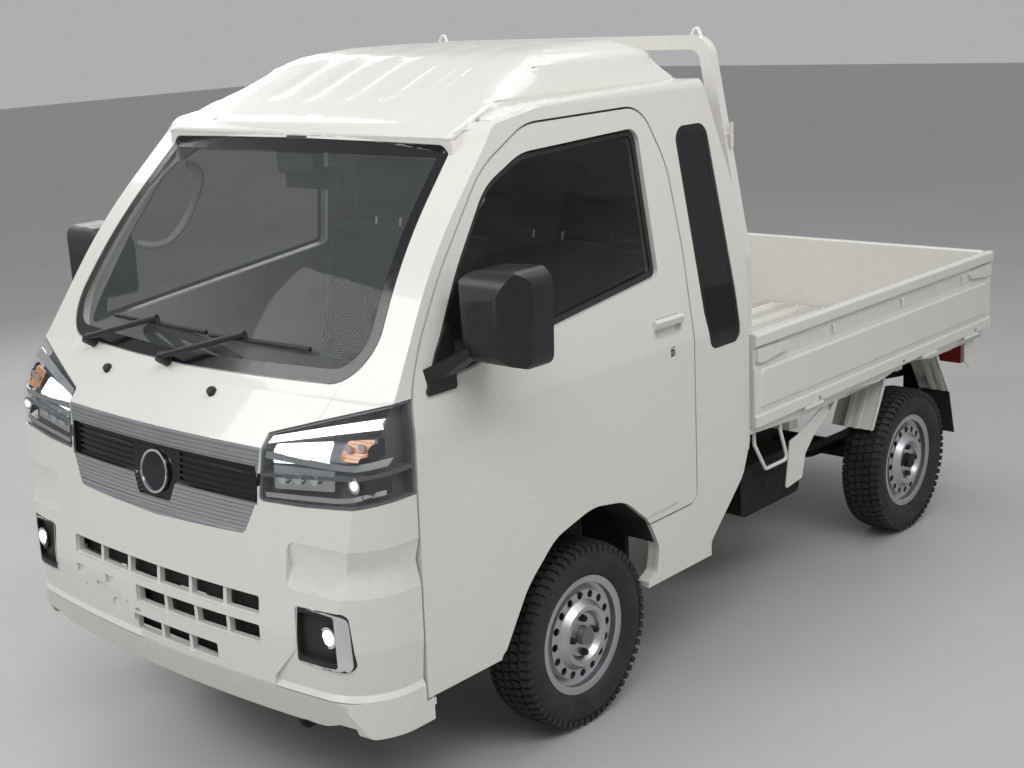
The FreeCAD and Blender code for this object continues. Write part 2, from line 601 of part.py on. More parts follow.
# places along the cab's front: pivot (x, z), elbow (x, z), blade's start x and end x
wiper_table = [
    (-432.0, 1104.0, -150.0, 1186.0, -360.0, 60.0),
    (-62.0, 1100.0, 215.0, 1182.0, 80.0, 440.0)]
wipers = []
for pivot_x, pivot_z, elbow_x, elbow_z, start_x, end_x in wiper_table:
    boss_foot = front_point(pivot_x, pivot_z, fit + 1.5)
    boss_head = front_point(pivot_x, pivot_z, 34)
    elbow = front_point(elbow_x, elbow_z, blade_radius + blade_sag + 10)
    blade_start = front_point(start_x, elbow_z - 12, blade_radius + blade_sag)
    blade_end = front_point(end_x, elbow_z - 12, blade_radius + blade_sag)
    knuckle_end = elbow + (blade_end - elbow) * 0.02 - V(0, 0, 16)
    wipers.append(fuse([
        rod(boss_foot, boss_head, 16), rod(boss_head, elbow, 8),
        rod(blade_start, blade_end, blade_radius), rod(elbow, knuckle_end, 6)]))
keep("wipers", wipers)

# ---------------------------------------------------------------- chassis frame
rail_x = rear_track / 2 - 270
rail_wide = 55.0
rail_high = 95.0
rail_inner = rail_x - rail_wide / 2
rail_outer = rail_x + rail_wide / 2
low_rail, high_rail = 420.0, 500.0      # heights of a rail's centre line under the cab and under the bed
beam_deep = 36.0
bore_radius = plan_axis - (front_face + bumper_wall)
beam_front = plan_axis - math.sqrt(bore_radius ** 2 - rail_outer ** 2) + fit
rail_front = beam_front + beam_deep + fit
rail_rear = bed_rear - 57.5
# side view of a frame rail's centre line: (y, z)
rail_path = [
    (rail_front, low_rail - 20), (front_axle - 360, low_rail - 20), (front_axle - 230, low_rail),
    (rear_axle - 600, low_rail), (rear_axle - 320, high_rail), (rear_axle + 320, high_rail),
    (rail_rear, high_rail - 30)]


def rail_outline(path, high):
    upper = [(y, z + high / 2, 60) for y, z in path]
    lower = [(y, z - high / 2, 60) for y, z in reversed(path)]
    rows = upper + lower
    ends = (0, len(path) - 1, len(path), len(rows) - 1)
    return [(y, z, 0.0 if i in ends else r) for i, (y, z, r) in enumerate(rows)]


def eye_plate(x0, x1, y, z, root):
    """An eye with its hole at height z, hung from height root."""
    plate = prism_x([(y - 30, z - 30, 28), (y + 30, z - 30, 28), (y + 30, root), (y - 30, root)], x0, x1)
    return plate.cut(Part.makeCylinder(16, x1 - x0 + 10, V(x0 - 5, y, z), V(1, 0, 0)))


rail_parts = [prism_x(rail_outline(rail_path, rail_high), rail_inner, rail_outer)]
# cab mounts: (y, foot, top)
for y, foot, top in ((-1420, 440, 455 - fit), (-1260, 440, 455 - fit), (-120, 460, 660 - fit)):
    rail_parts.append(Part.makeCylinder(22, top - foot, V(rail_x, y, foot)))
right_rail = mirrored(fuse(rail_parts))
eye_x = rail_outer + 16.5
left_eye = eye_plate(eye_x, eye_x + 12, -1575, 250, 360)
left_rail = fuse(rail_parts + [left_eye, box(rail_outer - 8, eye_x + 12, -1605, -1545, 358, 372)])
frame_parts = [left_rail, right_rail]
member_half = rail_inner - fit
# cross members: (y, z, height, depth)
cross_members = [
    (front_axle - 300, low_rail - 25, 60, 50), (-80, low_rail, 70, 50), (rear_axle - 640, low_rail, 70, 50),
    (rear_axle - 260, high_rail + 12, 50, 50), (rear_axle + 250, high_rail + 12, 50, 50)]
for y, z, high, deep in cross_members:
    frame_parts.append(
        box(-member_half, member_half, y - deep / 2, y + deep / 2, z - high / 2, z + high / 2))
tail_member = box(-member_half, member_half, rail_rear - 20, rail_rear, high_rail - 70, high_rail + 10)
rear_eye = eye_plate(-306, -294, rail_rear, 320, high_rail - 60)
rear_eye_foot = box(-306, -294, rail_rear - 30, rail_rear + 30, high_rail - 75, high_rail - 55)
frame_parts.append(fuse([tail_member, rear_eye, rear_eye_foot]))
frame_parts.append(box(-rail_outer, rail_outer, beam_front, beam_front + beam_deep, 385, 440))
keep("chassis_frame", frame_parts)

# ---------------------------------------------------------------- cab floor
floor_top = 485.0
floor_bottom = 455.0
deck_bottom = 660.0
deck_top = 690.0
inner_half = half_width - side_wall - shut_gap - 2
floor_rear = cab_rear - 44.0
# side view of the pressed floor: (y, z, corner radius)
floor_outline = [
    (-1585, 1020), (-1585, 700), (-1520, floor_bottom, 60), (-1215, floor_bottom, 20),
    (-1190, deck_bottom, 30), (floor_rear, deck_bottom, 10), (floor_rear, deck_top, 10),
    (-1220, deck_top, 40), (-1240, floor_top, 40), (-1510, floor_top, 60), (-1555, 700), (-1555, 1020)]
floor_body = prism_x(floor_outline, -inner_half, inner_half)
floor_edge = box(-half_width, half_width, -290, floor_rear, deck_bottom, deck_top)
floor = floor_body.fuse(floor_edge).common(cab_envelope(side_wall + fit, front_wall + fit, roof_wall))
keep("cab_floor", [floor.removeSplitter()])

# ---------------------------------------------------------------- dashboard and steering
wheel_centre = V(392.5 - half_width, -1215, 1010)
column_tilt = 52.0              # the column's rise from level, in degrees
column_axis = V(0, math.cos(math.radians(column_tilt)), math.sin(math.radians(column_tilt)))
dash_front = -1555 + fit
dash_outline = [
    (-1480, 1085, 20), (dash_front, 1010), (dash_front, 800, 20), (-1400, 760, 40), (-1330, 820, 60),
    (-1310, 960, 50), (-1350, 1050, 60), (-1440, 1086, 60)]
dash = prism_x(dash_outline, -inner_half, inner_half)
dash = dash.common(cab_envelope(side_wall + shut_gap, front_wall + fit, roof_wall))
shroud_end = wheel_centre - column_axis * 60
column = Part.makeCylinder(38, 200, shroud_end, -column_axis)
keep("dashboard", [largest(dash.fuse(column).removeSplitter())])

rim_ring = Part.makeTorus(178, 14, wheel_centre, column_axis)
hub_disc = Part.makeCylinder(62, 40, wheel_centre - column_axis * 40, column_axis)
steering_parts = [rim_ring, hub_disc]
cross = V(1, 0, 0)
up = column_axis.cross(cross)
for reach in (cross, cross * -1, up * -1):
    start = wheel_centre - column_axis * 22 + reach * 50
    end = wheel_centre + reach * 172
    steering_parts.append(rod(start, end, 13))
steering_parts.append(Part.makeCylinder(12, 25, wheel_centre - column_axis * (60 - fit), column_axis))
keep("steering_wheel", [fuse(steering_parts)])

# ---------------------------------------------------------------- seats
seat_x = half_width - 402.5
seat_half = 240.0
cushion_bottom = deck_top + fit
cushion = prism_x([
    (-1080, cushion_bottom), (-600, cushion_bottom), (-560, 790, 30), (-590, 860, 40),
    (-1060, 880, 60), (-1110, 800, 50)], seat_x - seat_half, seat_x + seat_half)
backrest = prism_x([
    (-640, 800), (-560, 790), (-390, 1340, 60), (-370, 1500, 50), (-440, 1530, 40), (-500, 1480, 40),
    (-520, 1360, 60)], seat_x - seat_half, seat_x + seat_half)
back_outline = symmetric([(seat_half, 700), (seat_half, 1300, 120), (130, 1420, 60), (110, 1540, 70)])
back_form = prism_y(back_outline, -700, -300)
back_form.translate(V(seat_x, 0, 0))
keep("seats", sides(cushion.fuse(backrest.common(back_form)).removeSplitter()))

# ---------------------------------------------------------------- bed
deck_half = half_width - gate_wall - 2
floor_sheet = 12.0
sheet_bottom = bed_floor_top - floor_sheet
hinge_drop = 9.0                # the hinge line lies this far below the gates
hinge_in = 9.0                  # and this far inside their outer faces
hinge_z = gate_bottom - hinge_drop
barrel = 8.0
pin = 4.0
sill_inner = deck_half - 40
sill_face = half_width - 26
rear_sill_face = bed_rear - 26
bed_start = 12.0
deck = box(-deck_half, deck_half, bed_start, bed_rear - gate_wall - 3, sheet_bottom, bed_floor_top)
front_board = box(-deck_half, deck_half, bed_start, bed_front, sheet_bottom, gate_top - 6)
floor_parts = [deck, front_board]
rib_count = 11
rib_pitch = 2 * deck_half / (rib_count + 1)
for i in range(rib_count):
    x = -deck_half + (i + 1) * rib_pitch
    rib = [
        (x - 32, bed_floor_top - 1), (x + 32, bed_floor_top - 1), (x + 24, bed_floor_top + 6),
        (x - 24, bed_floor_top + 6)]
    floor_parts.append(prism_y(rib, bed_front + 20, bed_rear - gate_wall - 40))
bed_parts = [fuse(floor_parts)]
# bearers across the frame: (y, height, height of the rail's centre line or 0 without mounts)
bearer_table = [
    (bed_front - 2, 90, low_rail), (rear_axle - 730, 90, low_rail), (rear_axle - 380, 60, 0),
    (rear_axle, 50, high_rail), (rear_axle + 400, 60, high_rail), (rail_rear - 50, 60, 0)]
for y, high, rail_z in bearer_table:
    top = sheet_bottom - fit
    bearer = [box(fit - sill_inner, sill_inner - fit, y - 25, y + 25, top - high, top)]
    if rail_z > 0:
        foot = rail_z + rail_high / 2 + fit
        bearer += sides(box(rail_x - 24, rail_x + 24, y - 22, y + 22, foot, top - high + 1))
    bed_parts.append(fuse(bearer))
side_hinges = [rear_axle - 711, rear_axle + 104, rear_axle + 446]
tail_hinges = [-480.0, 0.0, 480.0]


def hinge_solid(outline, along, centre, span):
    """A piece of a hinge line; rows of the outline are (across, z) from the hinge line."""
    if along == "y":
        rows = [(half_width - hinge_in + a, hinge_z + z) for a, z in outline]
        return prism_y(rows, centre - span / 2, centre + span / 2)
    rows = [(bed_rear - hinge_in + a, hinge_z + z) for a, z in outline]
    return prism_x(rows, centre - span / 2, centre + span / 2)


def hinge_round(radius, along, centre, span):
    if along == "y":
        start = V(half_width - hinge_in, centre - span / 2, hinge_z)
        return Part.makeCylinder(radius, span, start, V(0, 1, 0))
    start = V(centre - span / 2, bed_rear - hinge_in, hinge_z)
    return Part.makeCylinder(radius, span, start, V(1, 0, 0))


def fixed_hinge(along, centre):
    """Two barrels on a strap from the sill, with the pin through them."""
    strap = [(-40, -8), (0, -8), (0, 2), (-40, 2)]
    pieces = [hinge_round(pin, along, centre, 110)]
    for offset in (-40, 40):
        pieces.append(hinge_round(barrel, along, centre + offset, 28))
        pieces.append(hinge_solid(strap, along, centre + offset, 28))
    return fuse(pieces)


def gate_hinge(along, centre):
    """The gate's barrel between the fixed ones, bored for the pin."""
    web = [(-6, 0), (6, 0), (6, hinge_drop + 2), (-6, hinge_drop + 2)]
    piece = fuse([hinge_round(barrel, along, centre, 51), hinge_solid(web, along, centre, 51)])
    return piece.cut(hinge_round(pin + fit, along, centre, 60))


sill_top = sheet_bottom - fit
# side view of a side sill, which rises over the wheel: (y, z, corner radius)
sill_outline = [
    (bed_start, sill_bottom + 14), (rear_axle - 800, sill_bottom), (rear_axle - 240, sill_bottom, 60),
    (rear_axle - 60, sill_bottom + 21, 60), (rear_axle + 30, sill_bottom + 21, 60),
    (rear_axle + 150, sill_bottom, 60), (rear_sill_face, sill_bottom), (rear_sill_face, sill_top),
    (bed_start, sill_top)]
sill_parts = [prism_x(sill_outline, sill_inner, sill_face)]
sill_parts += [fixed_hinge("y", y) for y in side_hinges]
rope_rod_x = sill_face - 8
sill_parts.append(bent_tube([
    (rope_rod_x, 52, sill_bottom + 20), (rope_rod_x, 55, sill_bottom - 30),
    (rope_rod_x, 119, sill_bottom - 126), (rope_rod_x, 249, sill_bottom - 126),
    (rope_rod_x, 207, sill_bottom - 20), (rope_rod_x, 207, sill_bottom + 15)], 6, 14))
# plates that hang from the sill, in side view: (y, z, corner radius)
brace_outline = [
    (rear_axle - 480, sill_bottom + 8), (rear_axle - 543, sill_bottom - 38),
    (rear_axle - 640, sill_bottom - 95, 20), (rear_axle - 695, sill_bottom - 145, 10),
    (rear_axle - 717, sill_bottom - 223, 8), (rear_axle - 818, sill_bottom - 235, 8),
    (rear_axle - 792, sill_bottom - 79, 10), (rear_axle - 740, sill_bottom - 70, 20),
    (rear_axle - 660, sill_bottom - 40, 20), (rear_axle - 535, sill_bottom + 8)]
corner_plate = [
    (bed_rear - 135, sill_bottom + 8), (bed_rear - 130, sill_bottom - 90, 20),
    (bed_rear - 75, sill_bottom - 126, 15), (bed_rear - 48, sill_bottom - 126, 8),
    (bed_rear - 48, sill_bottom + 8)]
skirt_x = sill_face - 21
for outline in (brace_outline, corner_plate):
    sill_parts.append(prism_x(outline, skirt_x - 4, skirt_x))


def leaning_sheet(foot, head, before, after, x0, x1):
    """A sheet across the truck that leans from foot to head and ends upright in the sill."""
    (foot_y, foot_z), (head_y, head_z) = foot, head
    rows = [
        (foot_y - before, foot_z), (foot_y + after, foot_z), (head_y + after, head_z),
        (head_y + after, sill_bottom + 22), (head_y - before, sill_bottom + 22), (head_y - before, head_z)]
    return prism_x(rows, x0, x1)


# wheel house sheets ahead of and behind the wheel: (foot (y, z), head (y, z), inner x)
house_table = [
    ((rear_axle - 240, axle_height + 170), (rear_axle - 156, axle_height + 320), half_width - 209),
    ((rear_axle + 362, axle_height + 176), (rear_axle + 252, axle_height + 338), half_width - 170)]
for foot, head, inner in house_table:
    sill_parts.append(leaning_sheet(foot, head, 2, 2, inner, skirt_x))
    sill_parts.append(leaning_sheet(foot, head, 8, 8, skirt_x - 4, skirt_x))
    for x in (inner + 50, inner + 90):
        sill_parts.append(leaning_sheet(foot, head, 7, 1, x, x + 16))
side_sill = fuse(sill_parts)
bed_parts += sides(side_sill)
rear_sill_half = sill_inner - fit
rear_sill = box(-rear_sill_half, rear_sill_half, rear_sill_face - 30, rear_sill_face, sill_bottom, sill_top)
bed_parts.append(fuse([rear_sill] + [fixed_hinge("x", x) for x in tail_hinges]))
keep("bed_floor", bed_parts)

# ---------------------------------------------------------------- guard frame behind the cab
guard_y = 38.0
guard_half_deep = 17.0
guard_bar = 42.0
# front view of the frame: (x, z, corner radius)
guard_outer = symmetric([
    (half_width - 39.5, gate_top - 200), (half_width - 39.5, 1180, 150), (half_width - 112.5, 1573, 400),
    (half_width - 163, guard_top, 75), (0, guard_top)])
guard = prism_y(guard_outer, guard_y - guard_half_deep, guard_y + guard_half_deep)
guard = guard.cut(prism_y(inset(guard_outer, guard_bar), guard_y - 60, guard_y + 60))
guard = guard.cut(box(-900, 900, guard_y - 60, guard_y + 60, 0, gate_top - 6 + fit))
guard_parts = guard.Solids
# cross bars: (height, half length)
guard_bars = [(gate_top + 134, half_width - 60), (1330.0, half_width - 85), (1560.0, half_width - 130)]
for z, half in guard_bars:
    guard_parts.append(box(-half, half, guard_y - 10, guard_y + 10, z - 15, z + 15))
loop_x = half_width - 213.5
loop = bent_tube([(loop_x - 20, guard_y, guard_top - 12), (loop_x, guard_y, guard_top + 30),
                  (loop_x + 20, guard_y, guard_top - 12)], 6, 9)
peg_x = half_width - 93.5
peg_z = 1547.0
peg = fuse([rod((peg_x - 40, guard_y, peg_z), (peg_x, guard_y, peg_z), 6),
            rod((peg_x, guard_y, peg_z - 36), (peg_x, guard_y, peg_z + 36), 6)])
keep("guard_frame", [fuse(guard_parts + sides(loop) + sides(peg))])

# ---------------------------------------------------------------- gates
gate_front = 20.0
side_gate_rear = bed_rear - 6
base_in = 9.0                   # the gate's plain face lies this far behind its top rail
panel_in = 3.0                  # and its pressed panel this far
band_in = 14.0                  # and the band under the rail this far
panel_bottom = gate_bottom + 54
panel_top = gate_top - 112


def gate_section(face, inner_face):
    """Section of a gate: (across, z, corner radius)."""
    return [
        (inner_face, gate_bottom, 4), (face - 4, gate_bottom), (face - 4, gate_bottom + 32, 3),
        (face - base_in, gate_bottom + 38, 3), (face - base_in, panel_top - 10, 10),
        (face - band_in, panel_top + 14, 10), (face - band_in, gate_top - 42, 4), (face, gate_top - 38, 6),
        (face, gate_top, 9), (inner_face, gate_top, 8)]


def gate_panel(start, end, place):
    """The pressed panel between two places along a gate; place maps (along, z, across) to a point."""
    rows = [(start, panel_bottom, 10), (end, panel_bottom, 10), (end, panel_top, 28), (start, panel_top, 28)]
    rise = base_in - panel_in
    return raised_pad(rows, 8, lambda along, z, step: place(along, z, -base_in - 0.5 + step * (rise + 0.5)))


def rope_hook(along, place):
    z = gate_top - 57
    return bent_tube([place(along, z, -band_in - 2), place(along, z, -5.5), place(along, z - 24, -5.5)], 4, 6)


def side_place(along, z, across):
    return V(half_width + across, along, z)


def tail_place(along, z, across):
    return V(along, bed_rear + across, z)


latch_outline = [
    (10, -48, 8), (52, -52, 8), (180, -38, 8), (195, -20, 8), (180, -10, 8), (40, -6, 8), (10, -8, 8)]


def latch(start, turn):
    rows = [(start + turn * u, panel_top + 72 + w, r) for u, w, r in latch_outline]
    return prism_x(rows, half_width - band_in - 1, half_width - 1)


side_gate = prism_y(gate_section(half_width, half_width - gate_wall), gate_front, side_gate_rear)
side_pieces = [gate_panel(gate_front + 30, side_gate_rear - 30, side_place)]
side_pieces += [latch(gate_front, 1), latch(side_gate_rear, -1)]
side_pieces += [rope_hook(y, side_place) for y in (rear_axle - 586, rear_axle - 110, rear_axle + 365)]
side_gate = fuse([side_gate] + side_pieces + [gate_hinge("y", y) for y in side_hinges])
keep("left_gate", [side_gate])
keep("right_gate", [mirrored(side_gate)])
tail_half = half_width - gate_wall - shut_gap
tailgate = prism_x(gate_section(bed_rear, bed_rear - gate_wall), -tail_half, tail_half)
tail_pieces = [gate_panel(30 - tail_half, tail_half - 30, tail_place)]
tail_pieces += [rope_hook(x, tail_place) for x in (-350, 350)]
keep("tailgate", [fuse([tailgate] + tail_pieces + [gate_hinge("x", x) for x in tail_hinges])])

# ---------------------------------------------------------------- lamps, liners and mudguards
tail_lamp = box(430, 650, bed_rear - 80, rear_sill_face - 4, sill_bottom - 108, sill_bottom - fit)
keep("tail_lamps", sides(tail_lamp))
# the front wheel's liner follows the arch
liner_sheet = 4.0
liner = prism_x(inset(arch_outline, -liner_sheet), half_width - 137, half_width - arch_lip - 6)
liner = liner.cut(prism_x(arch_outline, half_width - 200, half_width))
liner = liner.common(box(0, 900, -1300, -430, 330, 700)).cut(box(0, 900, -640, -430, 300, 440))
liner_wall = box(half_width - 300, half_width - 136, -484, -480, 330, deck_bottom - fit)
liner_web = prism_x([(-496, 330), (-478, 330), (-478, 470), (-496, 440)], half_width - 140, half_width - 128)
front_liner = fuse([liner, liner_wall, liner_web])
flap_top, flap_bottom = axle_height + 176, axle_height - 2
flap_y = rear_axle + 364
flap = prism_x([
    (flap_y + fit, flap_top), (flap_y + 54, flap_bottom), (flap_y + 58, flap_bottom + 1),
    (flap_y + 4.5, flap_top + 4), (flap_y + 4.5, flap_top + 5), (flap_y + fit, flap_top + 5)],
    half_width - 168, skirt_x - 4 - fit)
keep("mudguards", sides(front_liner) + sides(flap))

# ---------------------------------------------------------------- engine, tank and exhaust
engine_foot_y = -390.0
gearbox_end = 120.0
engine_foot = box(190, rail_inner - fit, engine_foot_y - 30, engine_foot_y + 30, 395, 445)
engine_parts = [
    box(-190, 190, -620, -140, 270, 420), box(-150, 150, -590, -180, 420, 560),
    box(-110, 110, -560, -220, 560, 620), box(-120, 120, -140, -20, 280, 385 - fit),
    box(-85, 85, -20, gearbox_end, 295, 385 - fit),
    rod((215, -590, 360), (215, -500, 360), 60), rod((0, -640, 380), (0, -610, 380), 90)]
keep("engine", [fuse(engine_parts + sides(engine_foot))])
tank_inner = rail_outer + 22.5
tank_start, tank_end = cab_rear + 120, rear_axle - 600
tank = prism_x(rounded(tank_start, tank_end, 300, 472, 30), tank_inner, half_width - 127.5)
straps = [
    box(rail_outer + fit, tank_inner, y - 15, y + 15, 400, 440) for y in (tank_start + 80, tank_end - 80)]
keep("fuel_tank", [fuse([tank] + straps)])
exhaust_x = 130.0 - rail_x
silencer_start, silencer_end = 150.0, rear_axle - 480
exhaust_parts = [
    Part.makeCylinder(65, silencer_end - silencer_start, V(exhaust_x, silencer_start, 300), V(0, 1, 0)),
    bent_tube([
        (-190 - fit, -300, 330), (exhaust_x, -300, 330), (exhaust_x, silencer_start + 10, 300)], 20, 40),
    bent_tube([
        (exhaust_x, silencer_end - 10, 300), (exhaust_x, silencer_end + 120, 300),
        (exhaust_x, rear_axle - 180, axle_height + 131), (exhaust_x, rear_axle + 220, axle_height + 131),
        (exhaust_x, rear_axle + 370, 360), (exhaust_x, rail_rear + 25, 360)], 18, 70),
    box(exhaust_x - 10, exhaust_x + 10, rear_axle - 650, rear_axle - 630, 360, low_rail - 35 - fit)]
keep("exhaust", [fuse(exhaust_parts)])

# ---------------------------------------------------------------- wheels
half_tyre = tyre_width / 2
half_rim = rim_width / 2
flange = 5.0
flange_radius = rim_radius + 15.6
bead = half_rim - flange - fit
wall_height = tyre_radius - flange_radius
# section of one side of the tyre: (x from the wheel's middle, radius, corner radius)
tyre_half = [
    (bead, rim_radius), (bead, flange_radius + 3), (half_tyre - 5, flange_radius + 0.17 * wall_height),
    (half_tyre, flange_radius + 0.42 * wall_height, 20), (half_tyre - 4, tyre_radius - 18),
    (half_tyre - 15, tyre_radius)]
tyre_section = [(-x, *rest) for x, *rest in tyre_half] + [(x, *rest) for x, *rest in reversed(tyre_half)]
well_radius = rim_radius - 18.4
sheet = 4.5
seat_radius = rim_radius - fit
# section of the rim, tyre side first, then its inner side: (x, radius)
rim_outside = [
    (-half_rim, flange_radius), (-half_rim + flange, flange_radius), (-half_rim + flange, seat_radius),
    (-28, seat_radius), (-18, well_radius), (20, well_radius), (30, seat_radius),
    (half_rim - flange, seat_radius), (half_rim - flange, flange_radius), (half_rim, flange_radius)]
rim_inside = [
    (half_rim, rim_radius + 3.6), (half_rim - 4, rim_radius - sheet), (33, rim_radius - sheet),
    (23, well_radius - sheet), (-21, well_radius - sheet), (-31, rim_radius - sheet),
    (-half_rim + 4, rim_radius - sheet), (-half_rim, rim_radius + 3.6)]
disc_back = 45.0
disc_face = disc_back + 5
# section of the wheel's disc: (x, radius)
disc_section = [
    (8, well_radius - 3), (14, well_radius - 3), (46, 126), (48, 100), (66, 85), (65, 72), (disc_face, 60),
    (disc_face, hub_bore / 2), (disc_back, hub_bore / 2), (disc_back, 62), (60, 74), (60, 82), (43, 98),
    (41, 122)]
vent_count = 16
vent_circle = 114.0
vent_radius = 11.0


def wheel_pieces(x, y):
    tyre = turned(tyre_section, y, axle_height)
    barrel_ring = turned(rim_outside + rim_inside, y, axle_height)
    disc = turned(disc_section, y, axle_height)
    holes = []
    for i in range(vent_count):
        angle = 2 * math.pi * i / vent_count
        centre = V(-10, y + vent_circle * math.cos(angle), axle_height + vent_circle * math.sin(angle))
        holes.append(Part.makeCylinder(vent_radius, 80, centre, V(1, 0, 0)))
    rim = fuse([barrel_ring, disc.cut(holes[0].multiFuse(holes[1:]))])
    tyre.translate(V(x, 0, 0))
    rim.translate(V(x, 0, 0))
    return tyre, rim


for place, y, track in (("front", front_axle, front_track), ("rear", rear_axle, rear_track)):
    tyre, rim = wheel_pieces(track / 2, y)
    keep(place + "_left_tyre", [tyre])
    keep(place + "_left_rim", [rim])
    keep(place + "_right_tyre", [mirrored(tyre)])
    keep(place + "_right_rim", [mirrored(rim)])

# ---------------------------------------------------------------- front suspension and knuckles
ball_x = front_track / 2 - 52.5
ball_z = axle_height - 94
strut_top_x = ball_x - 85
strut_top_z = 650.0
king_foot = V(ball_x, front_axle, ball_z)
king_top = V(strut_top_x, front_axle, strut_top_z)
king_axis = (king_top - king_foot).normalize()


def on_king(height):
    """The point of the steering axis at a height above the ground."""
    return king_foot + king_axis * ((height - ball_z) / king_axis.z)


hub_face = front_track / 2 + disc_back - fit
tube_foot, tube_top = axle_height + 36, 520.0
strut_tube = rod(on_king(tube_foot), on_king(tube_top), 24)
foot_boss = Part.makeCylinder(20, 40, king_foot + king_axis * 6, king_axis)
upper_x = on_king(axle_height + 76).x
upright = prism_y([
    (ball_x - 18, ball_z + 20), (ball_x + 14, ball_z + 20), (ball_x + 26, axle_height - 34),
    (ball_x + 26, axle_height + 36), (upper_x + 14, axle_height + 81), (upper_x - 14, axle_height + 81),
    (ball_x - 30, axle_height + 26)], front_axle - 22, front_axle + 22)
hub = ring_x(ball_x, hub_face, 0, 50, front_axle, axle_height)
spigot = ring_x(hub_face - 1, hub_face + 26, 0, hub_bore / 2 - 2, front_axle, axle_height)
brake = ring_x(ball_x + 24, ball_x + 36, 0, 112, front_axle, axle_height)
steer_arm = prism_z([
    (ball_x - 20, front_axle + 10), (ball_x + 10, front_axle + 10), (ball_x - 14, front_axle + 125, 10),
    (ball_x - 40, front_axle + 125, 10)], axle_height - 28, axle_height - 10)
knuckle = fuse([strut_tube, foot_boss, upright, hub, spigot, brake, steer_arm])
keep("left_knuckle", [knuckle])
keep("right_knuckle", [mirrored(knuckle)])

strut_x = on_king(650).x
piston = rod(on_king(tube_top) + king_axis * fit, on_king(636), 11)
spring = rod(on_king(530), on_king(630), 50)
top_mount = Part.makeCylinder(50, 12, on_king(630), king_axis)
tower = box(strut_x - 22, strut_x + 22, front_axle - 30, front_axle + 30, 640, deck_bottom - fit)
arm = prism_z([
    (250, front_axle - 30), (ball_x - 10, front_axle - 24, 14), (ball_x + 20, front_axle, 18),
    (ball_x - 10, front_axle + 24, 14), (250, front_axle + 30)], ball_z - 22, ball_z)
ball = Part.makeCylinder(9, 16 - fit, king_foot - king_axis * 10, king_axis)
member_half = rail_x - 10
tower_top = low_rail - rail_high / 2 - fit
member = box(-member_half, member_half, front_axle - 60, front_axle + 60, ball_z - 30, ball_z + 30)
member_tower = box(member_half - 50, member_half, front_axle - 50, front_axle + 50, ball_z + 20, tower_top)
rack = rod((-300, front_axle + 125, axle_height + 36), (300, front_axle + 125, axle_height + 36), 28)
rack_foot = box(180, 220, front_axle + 40, front_axle + 140, ball_z + 20, axle_height + 36)
subframe = fuse([member, rack] + sides(member_tower) + sides(rack_foot) + sides(fuse([arm, ball])))
keep("front_suspension", [subframe] + sides(fuse([piston, spring, top_mount, tower])))

# ---------------------------------------------------------------- rear axle and springs
drum_inner = rear_track / 2 - 40
leaf_x = rear_track / 2 - 195
casing_half = 110.0
leaf_seat = axle_height + 34
casing = turned([
    (-casing_half, 0), (-casing_half, 34), (-62, 90, 25), (62, 90, 25), (casing_half, 34), (casing_half, 0)],
    rear_axle, axle_height)
nose_end = (0, rear_axle - 170, axle_height + 14)
casing = fuse([
    casing, rod((0, rear_axle, axle_height), nose_end, 45), rod(nose_end, (0, gearbox_end + 8, 340), 26)])
axle_end = fuse([
    ring_x(casing_half + fit, drum_inner, 0, 32, rear_axle, axle_height),
    ring_x(drum_inner - 12, rear_track / 2 - 4, 0, 112, rear_axle, axle_height),
    ring_x(drum_inner, rear_track / 2 + disc_back - fit, 0, 50, rear_axle, axle_height),
    ring_x(drum_inner, rear_track / 2 + disc_back + 26, 0, hub_bore / 2 - 2, rear_axle, axle_height),
    box(leaf_x - 30, leaf_x + 30, rear_axle - 36, rear_axle + 36, axle_height + 12, leaf_seat - fit)])
keep("rear_axle", [casing] + sides(axle_end))
leaf_reach = 560.0
# side view of the leaf spring from the axle: (y, z above the axle, corner radius)
leaf_outline = [
    (-leaf_reach, 108, 20), (-300, 54, 200), (0, 34), (300, 54, 200), (leaf_reach, 108, 20),
    (leaf_reach, 130, 20), (300, 76, 200), (0, 66), (-300, 76, 200), (-leaf_reach, 130, 20)]
leaf_side = [(rear_axle + row[0], axle_height + row[1], *row[2:]) for row in leaf_outline]
leaf = prism_x(leaf_side, leaf_x - 28, leaf_x + 28)
hangers = [
    box(rail_outer + fit, leaf_x + 28, y - 22, y + 22, axle_height + 114, top)
    for y, top in ((rear_axle - leaf_reach, low_rail + 20), (rear_axle + leaf_reach, high_rail - 20))]
keep("leaf_springs", sides(fuse([leaf] + hangers)))

# ---------------------------------------------------------------- write the files
if __name__ == "__main__":
    os.makedirs("parts", exist_ok=True)
    centring = V(0, -(front_face + bed_rear) / 2, 0)
    for name, shape in nodes.items():
        shape.translate(centring)
        shape.exportStep("parts/" + name + ".step")
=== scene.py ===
import json
import math

import bmesh
import bpy
import numpy
from bpy.props import FloatProperty, FloatVectorProperty, IntProperty, PointerProperty
from mathutils import Matrix, Vector
from mathutils.bvhtree import BVHTree

